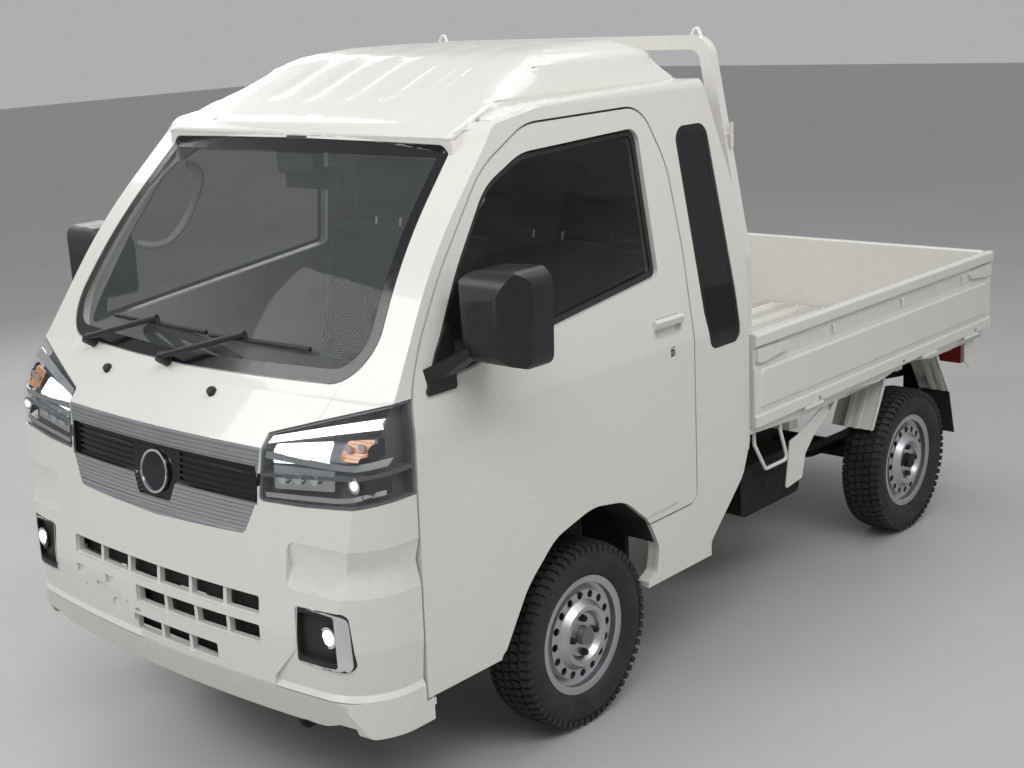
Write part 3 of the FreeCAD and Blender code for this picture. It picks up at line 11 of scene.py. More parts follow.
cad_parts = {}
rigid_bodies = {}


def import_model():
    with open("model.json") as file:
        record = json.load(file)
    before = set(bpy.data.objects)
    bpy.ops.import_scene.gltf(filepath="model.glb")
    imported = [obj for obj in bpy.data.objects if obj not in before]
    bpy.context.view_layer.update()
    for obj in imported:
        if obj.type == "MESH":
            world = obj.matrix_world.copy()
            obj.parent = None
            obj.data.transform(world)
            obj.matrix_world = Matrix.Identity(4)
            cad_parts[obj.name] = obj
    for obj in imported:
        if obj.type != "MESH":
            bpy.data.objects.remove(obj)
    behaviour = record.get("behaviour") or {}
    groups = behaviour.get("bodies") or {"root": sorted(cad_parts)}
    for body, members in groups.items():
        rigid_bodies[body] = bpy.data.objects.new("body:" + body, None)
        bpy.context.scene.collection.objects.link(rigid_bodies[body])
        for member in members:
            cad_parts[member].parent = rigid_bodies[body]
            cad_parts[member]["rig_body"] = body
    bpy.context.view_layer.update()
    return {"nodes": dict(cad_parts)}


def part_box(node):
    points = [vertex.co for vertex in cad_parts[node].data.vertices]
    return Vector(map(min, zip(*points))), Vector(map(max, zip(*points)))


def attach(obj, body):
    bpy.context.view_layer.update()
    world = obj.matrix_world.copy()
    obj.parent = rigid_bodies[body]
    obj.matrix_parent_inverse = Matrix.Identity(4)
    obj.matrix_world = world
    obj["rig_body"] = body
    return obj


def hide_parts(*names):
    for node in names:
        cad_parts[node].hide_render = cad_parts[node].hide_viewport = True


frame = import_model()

bl_info = {
    "name": "Kei truck looks",
    "version": (1, 0, 0),
    "blender": (4, 5, 0),
    "location": "View3D > Sidebar > Kei truck",
    "description": "Finishes and small parts of an extended-cab kei truck",
    "category": "Object",
}
LEFT_RIGHT = ("left", "right")
SIDES = (("left", 1), ("right", -1))
WHEELS = ("front_left", "front_right", "rear_left", "rear_right")
MM = 1000


# ---------------------------------------------------------------- sizes and colours that a user may change
def tint(name, description, default):
    return FloatVectorProperty(
        name=name, description=description, subtype="COLOR", size=3, min=0.0, max=1.0, default=default)


def length(name, description, default):
    return FloatProperty(
        name=name, description=description, subtype="DISTANCE", unit="LENGTH", min=0.0, default=default)


class TruckFinishes(bpy.types.PropertyGroup):
    paint: tint("Body paint", "Colour of the painted panels", (0.69, 0.68, 0.63))
    trim: tint("Black trim", "Colour of the black mouldings", (0.012, 0.012, 0.013))
    wheel: tint("Wheel paint", "Colour of the steel wheels", (0.56, 0.57, 0.58))
    smoke: tint("Smoked glass", "Colour of the side glass", (0.006, 0.008, 0.008))
    cabin: tint("Cabin plastic", "Colour of the dashboard and trims", (0.022, 0.022, 0.024))
    headliner: tint("Headliner", "Colour of the roof lining and pillar trims", (0.30, 0.30, 0.29))
    floor: tint("Studio floor", "Colour of the floor", (0.45, 0.45, 0.44))


class TruckSizes(bpy.types.PropertyGroup):
    edge: length("Panel edge", "Rounding of the pressed panels' edges", 0.0035)
    seal: length("Window seal", "Width of the black seals round the side windows", 0.013)
    screen_band: length("Screen band", "Width of the black band round the windscreen", 0.030)
    tread: length("Tread depth", "Depth of the tyres' grooves", 0.0075)
    tread_blocks: IntProperty(
        name="Tread blocks", description="Blocks round each row of the tread", min=12, max=120, default=62)


# ---------------------------------------------------------------- materials
class Shader:
    """A small builder for a node material with one Principled BSDF."""

    def __init__(self, name):
        self.material = bpy.data.materials.new(name)
        self.material.use_nodes = True
        self.tree = self.material.node_tree
        self.bsdf = self.tree.nodes["Principled BSDF"]
        self.place = self.tree.nodes.new("ShaderNodeTexCoord").outputs["Object"]

    def node(self, kind, **inputs):
        made = self.tree.nodes.new(kind)
        for key, value in inputs.items():
            self.feed(made.inputs[key.replace("_", " ")], value)
        return made

    def feed(self, socket, value):
        if isinstance(value, bpy.types.NodeSocket):
            self.tree.links.new(value, socket)
        else:
            socket.default_value = value

    def set(self, **values):
        for key, value in values.items():
            self.feed(self.bsdf.inputs[key.replace("_", " ")], value)
        return self

    def axis(self, index):
        return self.node("ShaderNodeSeparateXYZ", Vector=self.place).outputs[index]

    def maths(self, operation, first, second=0.0):
        made = self.tree.nodes.new("ShaderNodeMath")
        made.operation = operation
        self.feed(made.inputs[0], first)
        self.feed(made.inputs[1], second)
        return made.outputs[0]

    def noise(self, scale, detail=3.0, stretch=(1, 1, 1)):
        mapping = self.node("ShaderNodeMapping", Scale=stretch, Vector=self.place)
        made = self.node("ShaderNodeTexNoise", Scale=scale, Detail=detail, Vector=mapping.outputs["Vector"])
        return made.outputs["Fac"]

    def ramp(self, value, low, high, first, last):
        made = self.node("ShaderNodeMapRange", Value=value)
        for key, number in (("From Min", low), ("From Max", high), ("To Min", first), ("To Max", last)):
            made.inputs[key].default_value = number
        return made.outputs["Result"]

    def mottled(self, colour, factor, scale=6.0, detail=4.0):
        """The colour, with soft patches in which it is multiplied by factor."""
        patches = self.ramp(self.noise(scale, detail), 0.35, 0.7, 0.0, 1.0)
        return self.mix(patches, rgba(colour), rgba(colour, factor))

    def uneven(self, low, high, scale, detail=4.0, stretch=(1, 1, 1)):
        """A value that wanders between low and high over the surface."""
        return self.ramp(self.noise(scale, detail, stretch), 0.3, 0.7, low, high)

    def mix(self, factor, first, second):
        made = self.tree.nodes.new("ShaderNodeMix")
        made.data_type = "RGBA"
        self.feed(made.inputs[0], factor)
        self.feed(made.inputs[6], first)
        self.feed(made.inputs[7], second)
        return made.outputs[2]

    def bump(self, height, strength, distance):
        made = self.node("ShaderNodeBump", Strength=strength, Distance=distance, Height=height)
        self.feed(self.bsdf.inputs["Normal"], made.outputs["Normal"])
        return self


def rgba(colour, factor=1.0):
    return (colour[0] * factor, colour[1] * factor, colour[2] * factor, 1.0)


def enamel(name, colour, soiled=0.0):
    """Glossy paint with the faint ripple of a sprayed panel; soiled adds road dust low down."""
    s = Shader(name)
    clean = s.mottled(colour, 0.99, 2.2)
    low = s.maths("MULTIPLY", s.ramp(s.axis(2), 0.25, 0.55, soiled, 0.0), s.noise(7.0, 5.0, (1, 1, 2.5)))
    s.set(Base_Color=s.mix(low, clean, (0.16, 0.15, 0.13, 1)), IOR=1.5, Coat_Weight=0.5,
          Coat_Roughness=0.04, Roughness=s.uneven(0.25, 0.30, 9.0, 5.0))
    return s.bump(s.noise(140.0, 2.0), 0.03, 0.0005).material


def moulded(name, colour, roughness=0.55, grain=900.0, depth=0.25):
    """Grained plastic with a slight change of tone."""
    s = Shader(name)
    s.set(Base_Color=s.mottled(colour, 1.5), Roughness=s.uneven(roughness - 0.06, roughness + 0.06, 30.0))
    return s.bump(s.noise(grain, 3.0), depth, 0.0004).material


def pane(name, colour, cover, sheen=1.9):
    """Thin glass: cover is the share of the light behind that it holds back."""
    s = Shader(name)
    s.set(Base_Color=rgba(colour), IOR=sheen, Alpha=s.uneven(cover * 0.93, cover * 1.07, 2.5, 3.0, (1, 1, 3)),
          Roughness=s.uneven(0.015, 0.05, 3.0, 3.0))
    return s.bump(s.noise(1.3, 1.0), 0.02, 0.002).material


def metal(name, colour, roughness, grain=60.0, stretch=(1, 1, 1), depth=0.06):
    """Bare or plated metal, with a grain that stretch draws out."""
    s = Shader(name)
    s.set(Base_Color=s.mottled(colour, 0.8, 5.0, 5.0), Metallic=1.0,
          Roughness=s.uneven(roughness * 0.8, roughness * 1.3, grain, 4.0, stretch))
    return s.bump(s.noise(grain * 4, 3.0, stretch), depth, 0.0003).material


def lined_metal(name, colour, pitch):
    """Satin bright trim with fine level lines."""
    s = Shader(name)
    wave = s.maths("SINE", s.maths("MULTIPLY", s.axis(2), 2 * math.pi / pitch))
    s.set(Base_Color=s.mix(s.ramp(wave, -1.0, 1.0, 0.0, 1.0), rgba(colour, 0.72), rgba(colour)), Metallic=1.0,
          Roughness=s.uneven(0.22, 0.34, 80.0, 3.0, (0.1, 0.1, 1)))
    return s.bump(wave, 0.2, 0.0006).material


def rubber(name, colour=(0.014, 0.014, 0.015)):
    """Matt rubber, greyer in patches."""
    s = Shader(name)
    s.set(Base_Color=s.mottled(colour, 2.0, 12.0, 5.0), Roughness=s.uneven(0.55, 0.75, 40.0))
    return s.bump(s.noise(500.0, 3.0), 0.25, 0.0005).material


def lens(name, colour, cover):
    """Coloured lamp plastic with fine optics behind it."""
    s = Shader(name)
    rings = s.maths("SINE", s.maths("MULTIPLY", s.axis(2), 900.0))
    s.set(Base_Color=s.mix(s.ramp(rings, -1.0, 1.0, 0.0, 1.0), rgba(colour), rgba(colour, 0.6)),
          Roughness=0.08, IOR=1.7, Alpha=cover, Coat_Weight=0.5)
    return s.bump(rings, 0.2, 0.0006).material


def glowing(name, colour, strength):
    """A lit lamp made of many small cells."""
    s = Shader(name)
    cells = s.maths("SINE", s.maths("MULTIPLY", s.axis(0), 420.0))
    s.set(Base_Color=rgba(colour), Emission_Color=rgba(colour), Roughness=0.3,
          Emission_Strength=s.ramp(cells, -1.0, 1.0, strength * 0.6, strength))
    return s.material


def cloth(name, colour):
    """Woven seat cloth: two crossed threads and a soft sheen."""
    s = Shader(name)
    across = s.maths("SINE", s.maths("MULTIPLY", s.axis(0), 2600.0))
    along = s.maths("SINE", s.maths("MULTIPLY", s.maths("ADD", s.axis(1), s.axis(2)), 2600.0))
    weave = s.maths("MULTIPLY", across, along)
    s.set(Base_Color=s.mix(s.ramp(weave, -1.0, 1.0, 0.0, 1.0), rgba(colour, 0.88), rgba(colour, 1.15)),
          Roughness=s.uneven(0.82, 0.95, 20.0), Sheen_Weight=0.25)
    return s.bump(weave, 0.08, 0.0006).material


def netting(name, colour):
    """Black mesh behind the bumper's openings."""
    s = Shader(name)
    rows = s.maths("SINE", s.maths("MULTIPLY", s.axis(2), 700.0))
    columns = s.maths("SINE", s.maths("MULTIPLY", s.axis(0), 700.0))
    holes = s.maths("MULTIPLY", rows, columns)
    s.set(Base_Color=s.mix(s.ramp(holes, -0.2, 0.2, 0.0, 1.0), rgba(colour, 0.3), rgba(colour)),
          Roughness=0.6)
    return s.bump(holes, 0.6, 0.002).material


# ---------------------------------------------------------------- mesh helpers, in metres
def rounded(rows, steps=5):
    """Points in metres of an outline with rows (u, v) or (u, v, corner radius) in millimetres."""
    rows = [(row[0] / MM, row[1] / MM, row[2] / MM if len(row) > 2 else 0.0) for row in rows]
    points = []
    for i, (u, v, radius) in enumerate(rows):
        corner = Vector((u, v))
        back = (Vector(rows[i - 1][:2]) - corner).normalized()
        ahead = (Vector(rows[(i + 1) % len(rows)][:2]) - corner).normalized()
        if radius <= 0:
            points.append(corner)
            continue
        half = back.angle(ahead) / 2
        reach = radius / math.tan(half)
        centre = corner + (back + ahead).normalized() * radius / math.sin(half)
        start, end = corner + back * reach - centre, corner + ahead * reach - centre
        turn = start.angle_signed(end)
        for step in range(steps + 1):
            points.append(centre + Matrix.Rotation(-turn * step / steps, 2) @ start)
    return points


def offset(points, distance):
    """The outline moved outwards, or inwards where distance is below zero."""
    area = sum(a.x * b.y - b.x * a.y for a, b in zip(points, points[1:] + points[:1]))
    sign = 1.0 if area > 0 else -1.0
    moved = []
    for i, point in enumerate(points):
        back = point - points[i - 1]
        ahead = points[(i + 1) % len(points)] - point
        if back.length < 1e-7 or ahead.length < 1e-7:
            continue
        normals = [Vector((edge.y, -edge.x)).normalized() * sign for edge in (back, ahead)]
        mean = (normals[0] + normals[1]).normalized()
        moved.append(point + mean * distance / max(mean.dot(normals[0]), 0.3))
    return moved


def symmetric(rows):
    """Half an outline, from its axis at u = 0 outwards, made whole."""
    return rows + [(-row[0], *row[1:]) for row in reversed(rows) if row[0] != 0]


def refined(mesh, step, rounds):
    """Halves each edge longer than step, in a few rounds, and keeps the mesh in triangles."""
    for _ in range(rounds):
        wide = [edge for edge in mesh.edges if edge.calc_length() > step]
        if not wide:
            break
        bmesh.ops.subdivide_edges(mesh, edges=wide, cuts=1)
        bmesh.ops.triangulate(mesh, faces=mesh.faces[:])
    return mesh


def sheet(*loops, step=0.03):
    """A flat mesh that fills the first loop less the others, in fine triangles."""
    mesh = bmesh.new()
    edges = []
    for loop in loops:
        verts = [mesh.verts.new((point[0], point[1], 0.0)) for point in loop]
        edges += [mesh.edges.new(pair) for pair in zip(verts, verts[1:] + verts[:1])]
    bmesh.ops.triangle_fill(mesh, edges=edges, use_beauty=True)
    return refined(mesh, step, 7)


def thickened(mesh, depth, direction=None):
    """Gives a sheet a wall of depth, along direction or along its normals."""
    bmesh.ops.recalc_face_normals(mesh, faces=mesh.faces[:])
    if direction is None:
        bmesh.ops.solidify(mesh, geom=mesh.faces[:], thickness=depth)
    else:
        grown = bmesh.ops.extrude_face_region(mesh, geom=mesh.faces[:], use_keep_orig=True)
        verts = [item for item in grown["geom"] if isinstance(item, bmesh.types.BMVert)]
        bmesh.ops.translate(mesh, verts=verts, vec=Vector(direction).normalized() * depth)
    bmesh.ops.recalc_face_normals(mesh, faces=mesh.faces[:])
    return mesh


def soften(mesh, give, step=0.034, rounds=7):
    """Rounds a mesh's creases: give(place), from 0 to 1, says how far a point yields."""
    bmesh.ops.triangulate(mesh, faces=mesh.faces[:])
    refined(mesh, step, 8)
    mesh.verts.index_update()
    places = numpy.array([vert.co[:] for vert in mesh.verts])
    pairs = numpy.array([[vert.index for vert in edge.verts] for edge in mesh.edges])
    pairs = numpy.concatenate([pairs, pairs[:, ::-1]])
    share = numpy.array([give(vert.co) for vert in mesh.verts])[:, None] * 0.5
    count = numpy.bincount(pairs[:, 0], minlength=len(places))[:, None]
    for _ in range(rounds):
        total = numpy.zeros_like(places)
        numpy.add.at(total, pairs[:, 0], places[pairs[:, 1]])
        places += share * (total / count - places)
    for vert, place in zip(mesh.verts, places):
        vert.co = place
    return mesh


def plate(points, place, depth, direction):
    """A flat plate: place maps the outline's (u, v) to a point, and depth grows along direction."""
    mesh = sheet(points, step=10.0)
    for vert in mesh.verts:
        vert.co = place(vert.co.x, vert.co.y)
    return thickened(mesh, depth, direction)


def block(low, high):
    """A box between two corners, in millimetres."""
    mesh = bmesh.new()
    bmesh.ops.create_cube(mesh, size=1.0)
    for vert in mesh.verts:
        vert.co = Vector([(low[i] if vert.co[i] < 0 else high[i]) / MM for i in range(3)])
    return mesh


def drum(start, end, radius, tip=None, count=24):
    """A cylinder or cone between two points, in millimetres."""
    start, end = Vector(start) / MM, Vector(end) / MM
    mesh = bmesh.new()
    bmesh.ops.create_cone(
        mesh, cap_ends=True, segments=count, radius1=radius / MM,
        radius2=(radius if tip is None else tip) / MM, depth=(end - start).length)
    turn = (end - start).to_track_quat("Z", "Y").to_matrix().to_4x4()
    bmesh.ops.transform(mesh, matrix=Matrix.Translation((start + end) / 2) @ turn, verts=mesh.verts[:])
    return mesh


def lathe(section, centre, count=96):
    """Turns a section of (x, radius) rows, in millimetres, about the level line through centre along X."""
    mesh = bmesh.new()
    rings = []
    for step in range(count):
        angle = 2 * math.pi * step / count
        across = Vector((0, math.cos(angle), math.sin(angle)))
        rings.append([
            mesh.verts.new(centre + Vector((x / MM, 0, 0)) + across * r / MM) for x, r in section])
    closed = section[0][1] > 0
    rows = len(section)
    for first, second in zip(rings, rings[1:] + rings[:1]):
        for i in range(rows if closed else rows - 1):
            j = (i + 1) % rows
            mesh.faces.new((first[i], first[j], second[j], second[i]))
    bmesh.ops.remove_doubles(mesh, verts=mesh.verts[:], dist=1e-6)
    bmesh.ops.recalc_face_normals(mesh, faces=mesh.faces[:])
    return mesh


def tube(points, radius, count=8):
    """A round bar through points, in millimetres."""
    curve = bpy.data.curves.new("bar", "CURVE")
    curve.dimensions = "3D"
    curve.bevel_depth = radius / MM
    curve.bevel_resolution = max(count // 4, 1)
    curve.use_fill_caps = True
    spline = curve.splines.new("NURBS")
    spline.points.add(len(points) - 1)
    for entry, point in zip(spline.points, points):
        entry.co = (point[0] / MM, point[1] / MM, point[2] / MM, 1)
    spline.order_u = 3
    spline.use_endpoint_u = True
    spline.resolution_u = 6
    holder = bpy.data.objects.new("bar", curve)
    data = bpy.data.meshes.new_from_object(holder)
    mesh = bmesh.new()
    mesh.from_mesh(data)
    bpy.data.objects.remove(holder)
    bpy.data.curves.remove(curve)
    bpy.data.meshes.remove(data)
    bmesh.ops.remove_doubles(mesh, verts=mesh.verts[:], dist=1e-6)
    bmesh.ops.recalc_face_normals(mesh, faces=mesh.faces[:])
    return mesh


def joined(*meshes):
    """One mesh of several, which are freed."""
    whole = bmesh.new()
    for mesh in meshes:
        data = bpy.data.meshes.new("part")
        mesh.to_mesh(data)
        mesh.free()
        whole.from_mesh(data)
        bpy.data.meshes.remove(data)
    return whole


def mirrored(mesh):
    """A copy on the truck's other side."""
    other = mesh.copy()
    for vert in other.verts:
        vert.co.x = -vert.co.x
    bmesh.ops.reverse_faces(other, faces=other.faces[:])
    return other


def pair(mesh):
    """The mesh and its mirror image as one."""
    return joined(mirrored(mesh), mesh)


def apart(mesh):
    """The mirror image for the right side and the mesh for the left one, by side."""
    return ("right", mirrored(mesh)), ("left", mesh)


def shells(mesh):
    """The separate solids of a mesh, each as a list of vertices."""
    left = set(mesh.verts)
    found = []
    while left:
        stack = [left.pop()]
        group = []
        while stack:
            vert = stack.pop()
            group.append(vert)
            for edge in vert.link_edges:
                other = edge.other_vert(vert)
                if other in left:
                    left.remove(other)
                    stack.append(other)
        found.append(group)
    return found


def corners(verts):
    """The least and the greatest corner of the vertices' box."""
    low = Vector([min(vert.co[i] for vert in verts) for i in range(3)])
    high = Vector([max(vert.co[i] for vert in verts) for i in range(3)])
    return low, high


def merged(node, wanted=None):
    """A closed copy of a CAD node, or of those of its solids whose box wanted(low, high) accepts."""
    mesh = bmesh.new()
    mesh.from_mesh(frame["nodes"][node].data)
    bmesh.ops.remove_doubles(mesh, verts=mesh.verts[:], dist=2e-5)
    if wanted:
        drop = [vert for group in shells(mesh) if not wanted(*corners(group)) for vert in group]
        bmesh.ops.delete(mesh, geom=drop, context="VERTS")
    return mesh


def shown(name, mesh, material, body, node=None, bevel=0.0, sharp=35, segments=2, angle=30):
    """Makes a piece of a mesh: bevelled, smooth up to a sharp angle, and riding on a body."""
    data = bpy.data.meshes.new(name)
    mesh.to_mesh(data)
    mesh.free()
    piece = bpy.data.objects.new(name, data)
    bpy.context.collection.objects.link(piece)
    if bevel > 0:
        edge = piece.modifiers.new("edge", "BEVEL")
        edge.width = bevel
        edge.segments = segments
        edge.limit_method = "ANGLE"
        edge.angle_limit = math.radians(angle)
        edge.miter_outer = "MITER_ARC"
        settle(piece)
    piece.data.name = name
    for entry in material if isinstance(material, (list, tuple)) else [material]:
        piece.data.materials.append(entry)
    piece.data.shade_smooth()
    piece.data.set_sharp_from_angle(angle=math.radians(sharp))
    if bevel > 0:
        even = piece.modifiers.new("even", "WEIGHTED_NORMAL")
        even.keep_sharp = True
        settle(piece)
        piece.data.name = name
    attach(piece, body)
    if node:
        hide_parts(*([node] if isinstance(node, str) else node))
    return piece


def settle(piece):
    """Turns a piece's modifiers into its plain mesh."""
    bpy.context.view_layer.update()
    graph = bpy.context.evaluated_depsgraph_get()
    data = bpy.data.meshes.new_from_object(piece.evaluated_get(graph))
    old = piece.data
    piece.modifiers.clear()
    piece.data = data
    bpy.data.meshes.remove(old)


def flattened(mesh, angle=0.6):
    """Joins the triangles of flat faces, so that a bevel runs along whole edges."""
    bmesh.ops.dissolve_limit(
        mesh, angle_limit=math.radians(angle), verts=mesh.verts[:], edges=mesh.edges[:], delimit={"MATERIAL"})
    return mesh


class Skin:
    """The outer surface of some CAD nodes as seen from the front or from the left."""

    def __init__(self, across, *nodes):
        whole = joined(*[merged(node) for node in nodes])
        self.tree = BVHTree.FromBMesh(whole)
        self.across = across
        whole.free()

    def at(self, u, v, lift=0.0):
        if self.across == "front":
            start, way = Vector((u, -3.0, v)), Vector((0, 1, 0))
        else:
            start, way = Vector((3.0, u, v)), Vector((-1, 0, 0))
        point, normal, _, _ = self.tree.ray_cast(start, way)
        if point is None:
            return None
        if normal.dot(way) > 0:
            normal = -normal
        return point + normal * lift

    def patch(self, *loops, lift=0.0005, depth=0.001, step=0.03):
        """A sheet laid on the surface at lift, with its wall towards the inside."""
        mesh = sheet(*loops, step=step)
        missed = []
        for vert in mesh.verts:
            point = self.at(vert.co.x, vert.co.y, lift)
            if point is None:
                missed.append(vert)
            else:
                vert.co = point
        bmesh.ops.delete(mesh, geom=missed, context="VERTS")
        return thickened(mesh, depth, (0, 1, 0) if self.across == "front" else (-1, 0, 0))


# ---------------------------------------------------------------- one node tree for all that repeats
def repeat_tree():
    tree = bpy.data.node_groups.new("repeat", "GeometryNodeTree")
    kinds = {"Geometry": "Geometry", "Count": "Int", "Step": "Vector", "Turn": "Vector", "Centre": "Vector",
             "Material": "Material"}
    sockets = {
        name: tree.interface.new_socket(name, in_out="INPUT", socket_type="NodeSocket" + kind)
        for name, kind in kinds.items()}
    tree.interface.new_socket("Geometry", in_out="OUTPUT", socket_type="NodeSocketGeometry")

    def add(kind, **inputs):
        made = tree.nodes.new(kind)
        for key, value in inputs.items():
            socket = made.inputs[key.replace("_", " ")]
            if isinstance(value, bpy.types.NodeSocket):
                tree.links.new(value, socket)
            else:
                socket.default_value = value
        return made

    def scaled(vector, factor):
        made = add("ShaderNodeVectorMath")
        made.operation = "SCALE"
        tree.links.new(vector, made.inputs[0])
        tree.links.new(factor, made.inputs["Scale"])
        return made.outputs[0]

    source = tree.nodes.new("NodeGroupInput").outputs
    index = add("GeometryNodeInputIndex").outputs[0]
    away = add("ShaderNodeVectorMath")
    away.operation = "SCALE"
    away.inputs["Scale"].default_value = -1.0
    tree.links.new(source["Centre"], away.inputs[0])
    centred = add("GeometryNodeTransform", Geometry=source["Geometry"], Translation=away.outputs[0])
    points = add("GeometryNodePoints", Count=source["Count"])
    place = add("GeometryNodeSetPosition", Geometry=points.outputs[0], Offset=scaled(source["Step"], index))
    copies = add("GeometryNodeInstanceOnPoints", Points=place.outputs[0], Instance=centred.outputs[0],
                 Rotation=scaled(source["Turn"], index))
    real = add("GeometryNodeRealizeInstances", Geometry=copies.outputs[0])
    back = add("GeometryNodeTransform", Geometry=real.outputs[0], Translation=source["Centre"])
    finish = add("GeometryNodeSetMaterial", Geometry=back.outputs[0], Material=source["Material"])
    tree.links.new(finish.outputs[0], tree.nodes.new("NodeGroupOutput").inputs[0])
    return tree, {name: socket.identifier for name, socket in sockets.items()}


def repeated(mesh, count, material, step=(0, 0, 0), turn=(0, 0, 0), centre=(0, 0, 0)):
    """Copies of a mesh: each is moved by step and turned by turn, about centre, from the last one."""
    if "repeat" not in bpy.data.node_groups:
        tree, sockets = repeat_tree()
        tree["sockets"] = json.dumps(sockets)
    tree = bpy.data.node_groups["repeat"]
    sockets = json.loads(tree["sockets"])
    data = bpy.data.meshes.new("one")
    mesh.to_mesh(data)
    mesh.free()
    holder = bpy.data.objects.new("one", data)
    bpy.context.collection.objects.link(holder)
    modifier = holder.modifiers.new("repeat", "NODES")
    modifier.node_group = tree
    values = {"Count": count, "Step": step, "Turn": turn, "Centre": centre, "Material": material}
    for name, value in values.items():
        modifier[sockets[name]] = value
    bpy.context.view_layer.update()
    made = bpy.data.meshes.new_from_object(holder.evaluated_get(bpy.context.evaluated_depsgraph_get()))
    result = bmesh.new()
    result.from_mesh(made)
    for face in result.faces:
        face.material_index = 0
    bpy.data.objects.remove(holder)
    bpy.data.meshes.remove(data)
    bpy.data.meshes.remove(made)
    return result


def home(node):
    """The body that a CAD node belongs to."""
    return frame["nodes"][node]["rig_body"]


def both(*names):
    """The left and the right node of each name."""
    return [side + "_" + name for name in names for side in LEFT_RIGHT]


def coat(material, *nodes):
    """Gives CAD nodes that stay in view a material."""
    for node in nodes:
        slots = frame["nodes"][node].data.materials
        slots.clear()
        slots.append(material)


def finishes():
    return bpy.context.scene.truck_finishes


def sizes():
    return bpy.context.scene.truck_sizes


def once(name, build, *values):
    """The material of that name, built the first time that a piece asks for it."""
    return bpy.data.materials.get(name) or build(name, *values)


def paint():
    return once("body enamel", enamel, tuple(finishes().paint), 0.0)


def low_paint():
    return once("body enamel with road dust", enamel, tuple(finishes().paint), 0.05)


def black():
    return once("black moulding", moulded, tuple(finishes().trim))


def gloss_black():
    return once("gloss black", moulded, (0.006, 0.006, 0.007), 0.16, 300.0, 0.03)


def chrome():
    return once("bright plating", metal, (0.78, 0.79, 0.80), 0.09)


def cabin_plastic():
    return once("cabin plastic", moulded, tuple(finishes().cabin), 0.6)


def lining():
    return once("roof lining", moulded, tuple(finishes().headliner), 0.9, 500.0)


def zinc():
    return once("zinc plate", metal, (0.5, 0.5, 0.48), 0.35, 90.0)


# ---------------------------------------------------------------- painted panels
# metres: how far from the middle a door's lining and a sill's outer face lie, and the windows' lower edge
DOOR_LINING = 0.69
SILL_FACE = 0.692
WAIST = 1.05
# metres from the pieces below within which the roof is held, and over which it comes to yield fully
ROOF_HELD = 0.006
ROOF_YIELD = 0.06


class TRUCK_OT_bodywork(bpy.types.Operator):
    """Paint the pressed panels and soften their edges"""
    bl_idname = "truck.bodywork"
    bl_label = "Bodywork"

    def execute(self, context):
        edge = sizes().edge
        for node in ("hood", "cab_back", "tailgate", "guard_frame", *both("door", "gate", "cab_side")):
            mesh = flattened(merged(node))
            inside = lining()
            if node == "cab_back":
                for face in mesh.faces:
                    face.material_index = 1 if face.normal.y < -0.5 else 0
            if node.endswith("door"):
                inside = cabin_plastic()
                for face in mesh.faces:
                    centre = face.calc_center_median()
                    inner = abs(centre.x) < DOOR_LINING and centre.z < WAIST
                    face.material_index = 1 if inner and abs(face.normal.x) > 0.7 else 0
            shown(node + "_panel", mesh, [low_paint(), inside], home(node), node, bevel=edge)
        shown("bumper_panel", flattened(merged("front_bumper")), low_paint(), "truck", "front_bumper",
              bevel=edge * 0.4)
        self.roof()
        shown("bed_panel", merged("bed_floor"), low_paint(), "truck", "bed_floor", sharp=25)
        floor = flattened(merged("cab_floor"))
        for face in floor.faces:
            face.material_index = 0 if abs(face.calc_center_median().x) > SILL_FACE else 1
        mat = once("floor mat", rubber, (0.02, 0.02, 0.021))
        shown("cab_floor_panel", floor, [low_paint(), mat], "truck", "cab_floor")
        return {"FINISHED"}

    def roof(self):
        """The roof yields to its softening less and less towards the pieces that it rests on."""
        near = joined(*[merged(node) for node in (*both("cab_side"), "windscreen", "cab_back")])
        rests = BVHTree.FromBMesh(near)
        near.free()
        roof = soften(merged("roof"), lambda place: min(
            1.0, max(0.0, rests.find_nearest(place)[3] - ROOF_HELD) / ROOF_YIELD))
        for face in roof.faces:
            face.material_index = 1 if face.normal.z < -0.3 else 0
        shown("roof_panel", roof, [paint(), lining()], "truck", "roof", sharp=60)


# ---------------------------------------------------------------- front end
# the lens and its housing share an outline; the lens's foremost point lies ahead of this plane
LENS_PLANE = -1.645
HEADLAMP_LOW = 0.7
# the grille in front view, in millimetres: heights of the black band and of the badge's seat below it
BAND_FOOT = 827.5
BAND_TOP = 916.5
BAND_HALF = 389
SEAT_FOOT = 776
SEAT_HALF = 66
SEAT_FLARE = 0.4
BADGE_HEIGHT = 843
BADGE_LEAN = -8.5
# sections of the badge, in millimetres: (place along its axis, radius)
BADGE_RING = [(-5, 51), (-6, 54), (-5, 57), (0, 57), (0, 50)]
BADGE_DISC = [(-2, 0), (-2, 50), (0, 51), (0, 0)]
# metres from one line of the garnish to the next
GARNISH_PITCH = 0.0105
# parts behind a headlamp's lens: name, finish, depth behind the lens and rows of (x, z, corner radius)
LAMP_PARTS = [
    ("blade", "silver", 4, [(418, 976), (600, 1012), (728, 1036), (736, 1060), (610, 1034), (424, 992)]),
    ("high_beam", "lit", 13, [(437, 930, 4), (612, 948, 4), (600, 1002, 6), (437, 980, 6)]),
    ("divider", "silver", 7, [(414, 940), (620, 938), (734, 944), (737, 962), (625, 953), (420, 958)]),
    ("signal", "amber", 14, [(636, 966, 4), (712, 970, 4), (712, 1018, 5), (640, 1008, 5)]),
    ("cells", "black", 12, [(718, 966, 3), (734, 968, 3), (734, 1014, 3), (720, 1012, 3)]),
    ("low_row", "silver", 14, [(440, 868, 5), (628, 886, 5), (628, 934, 4), (436, 926, 4)]),
    ("sill", "silver", 5, [(420, 846), (640, 862), (732, 878), (732, 890), (640, 874), (416, 858)]),
    ("frame", "black", 5, [(706, 872, 4), (735, 880, 4), (736, 936, 4), (712, 934, 4)]),
]
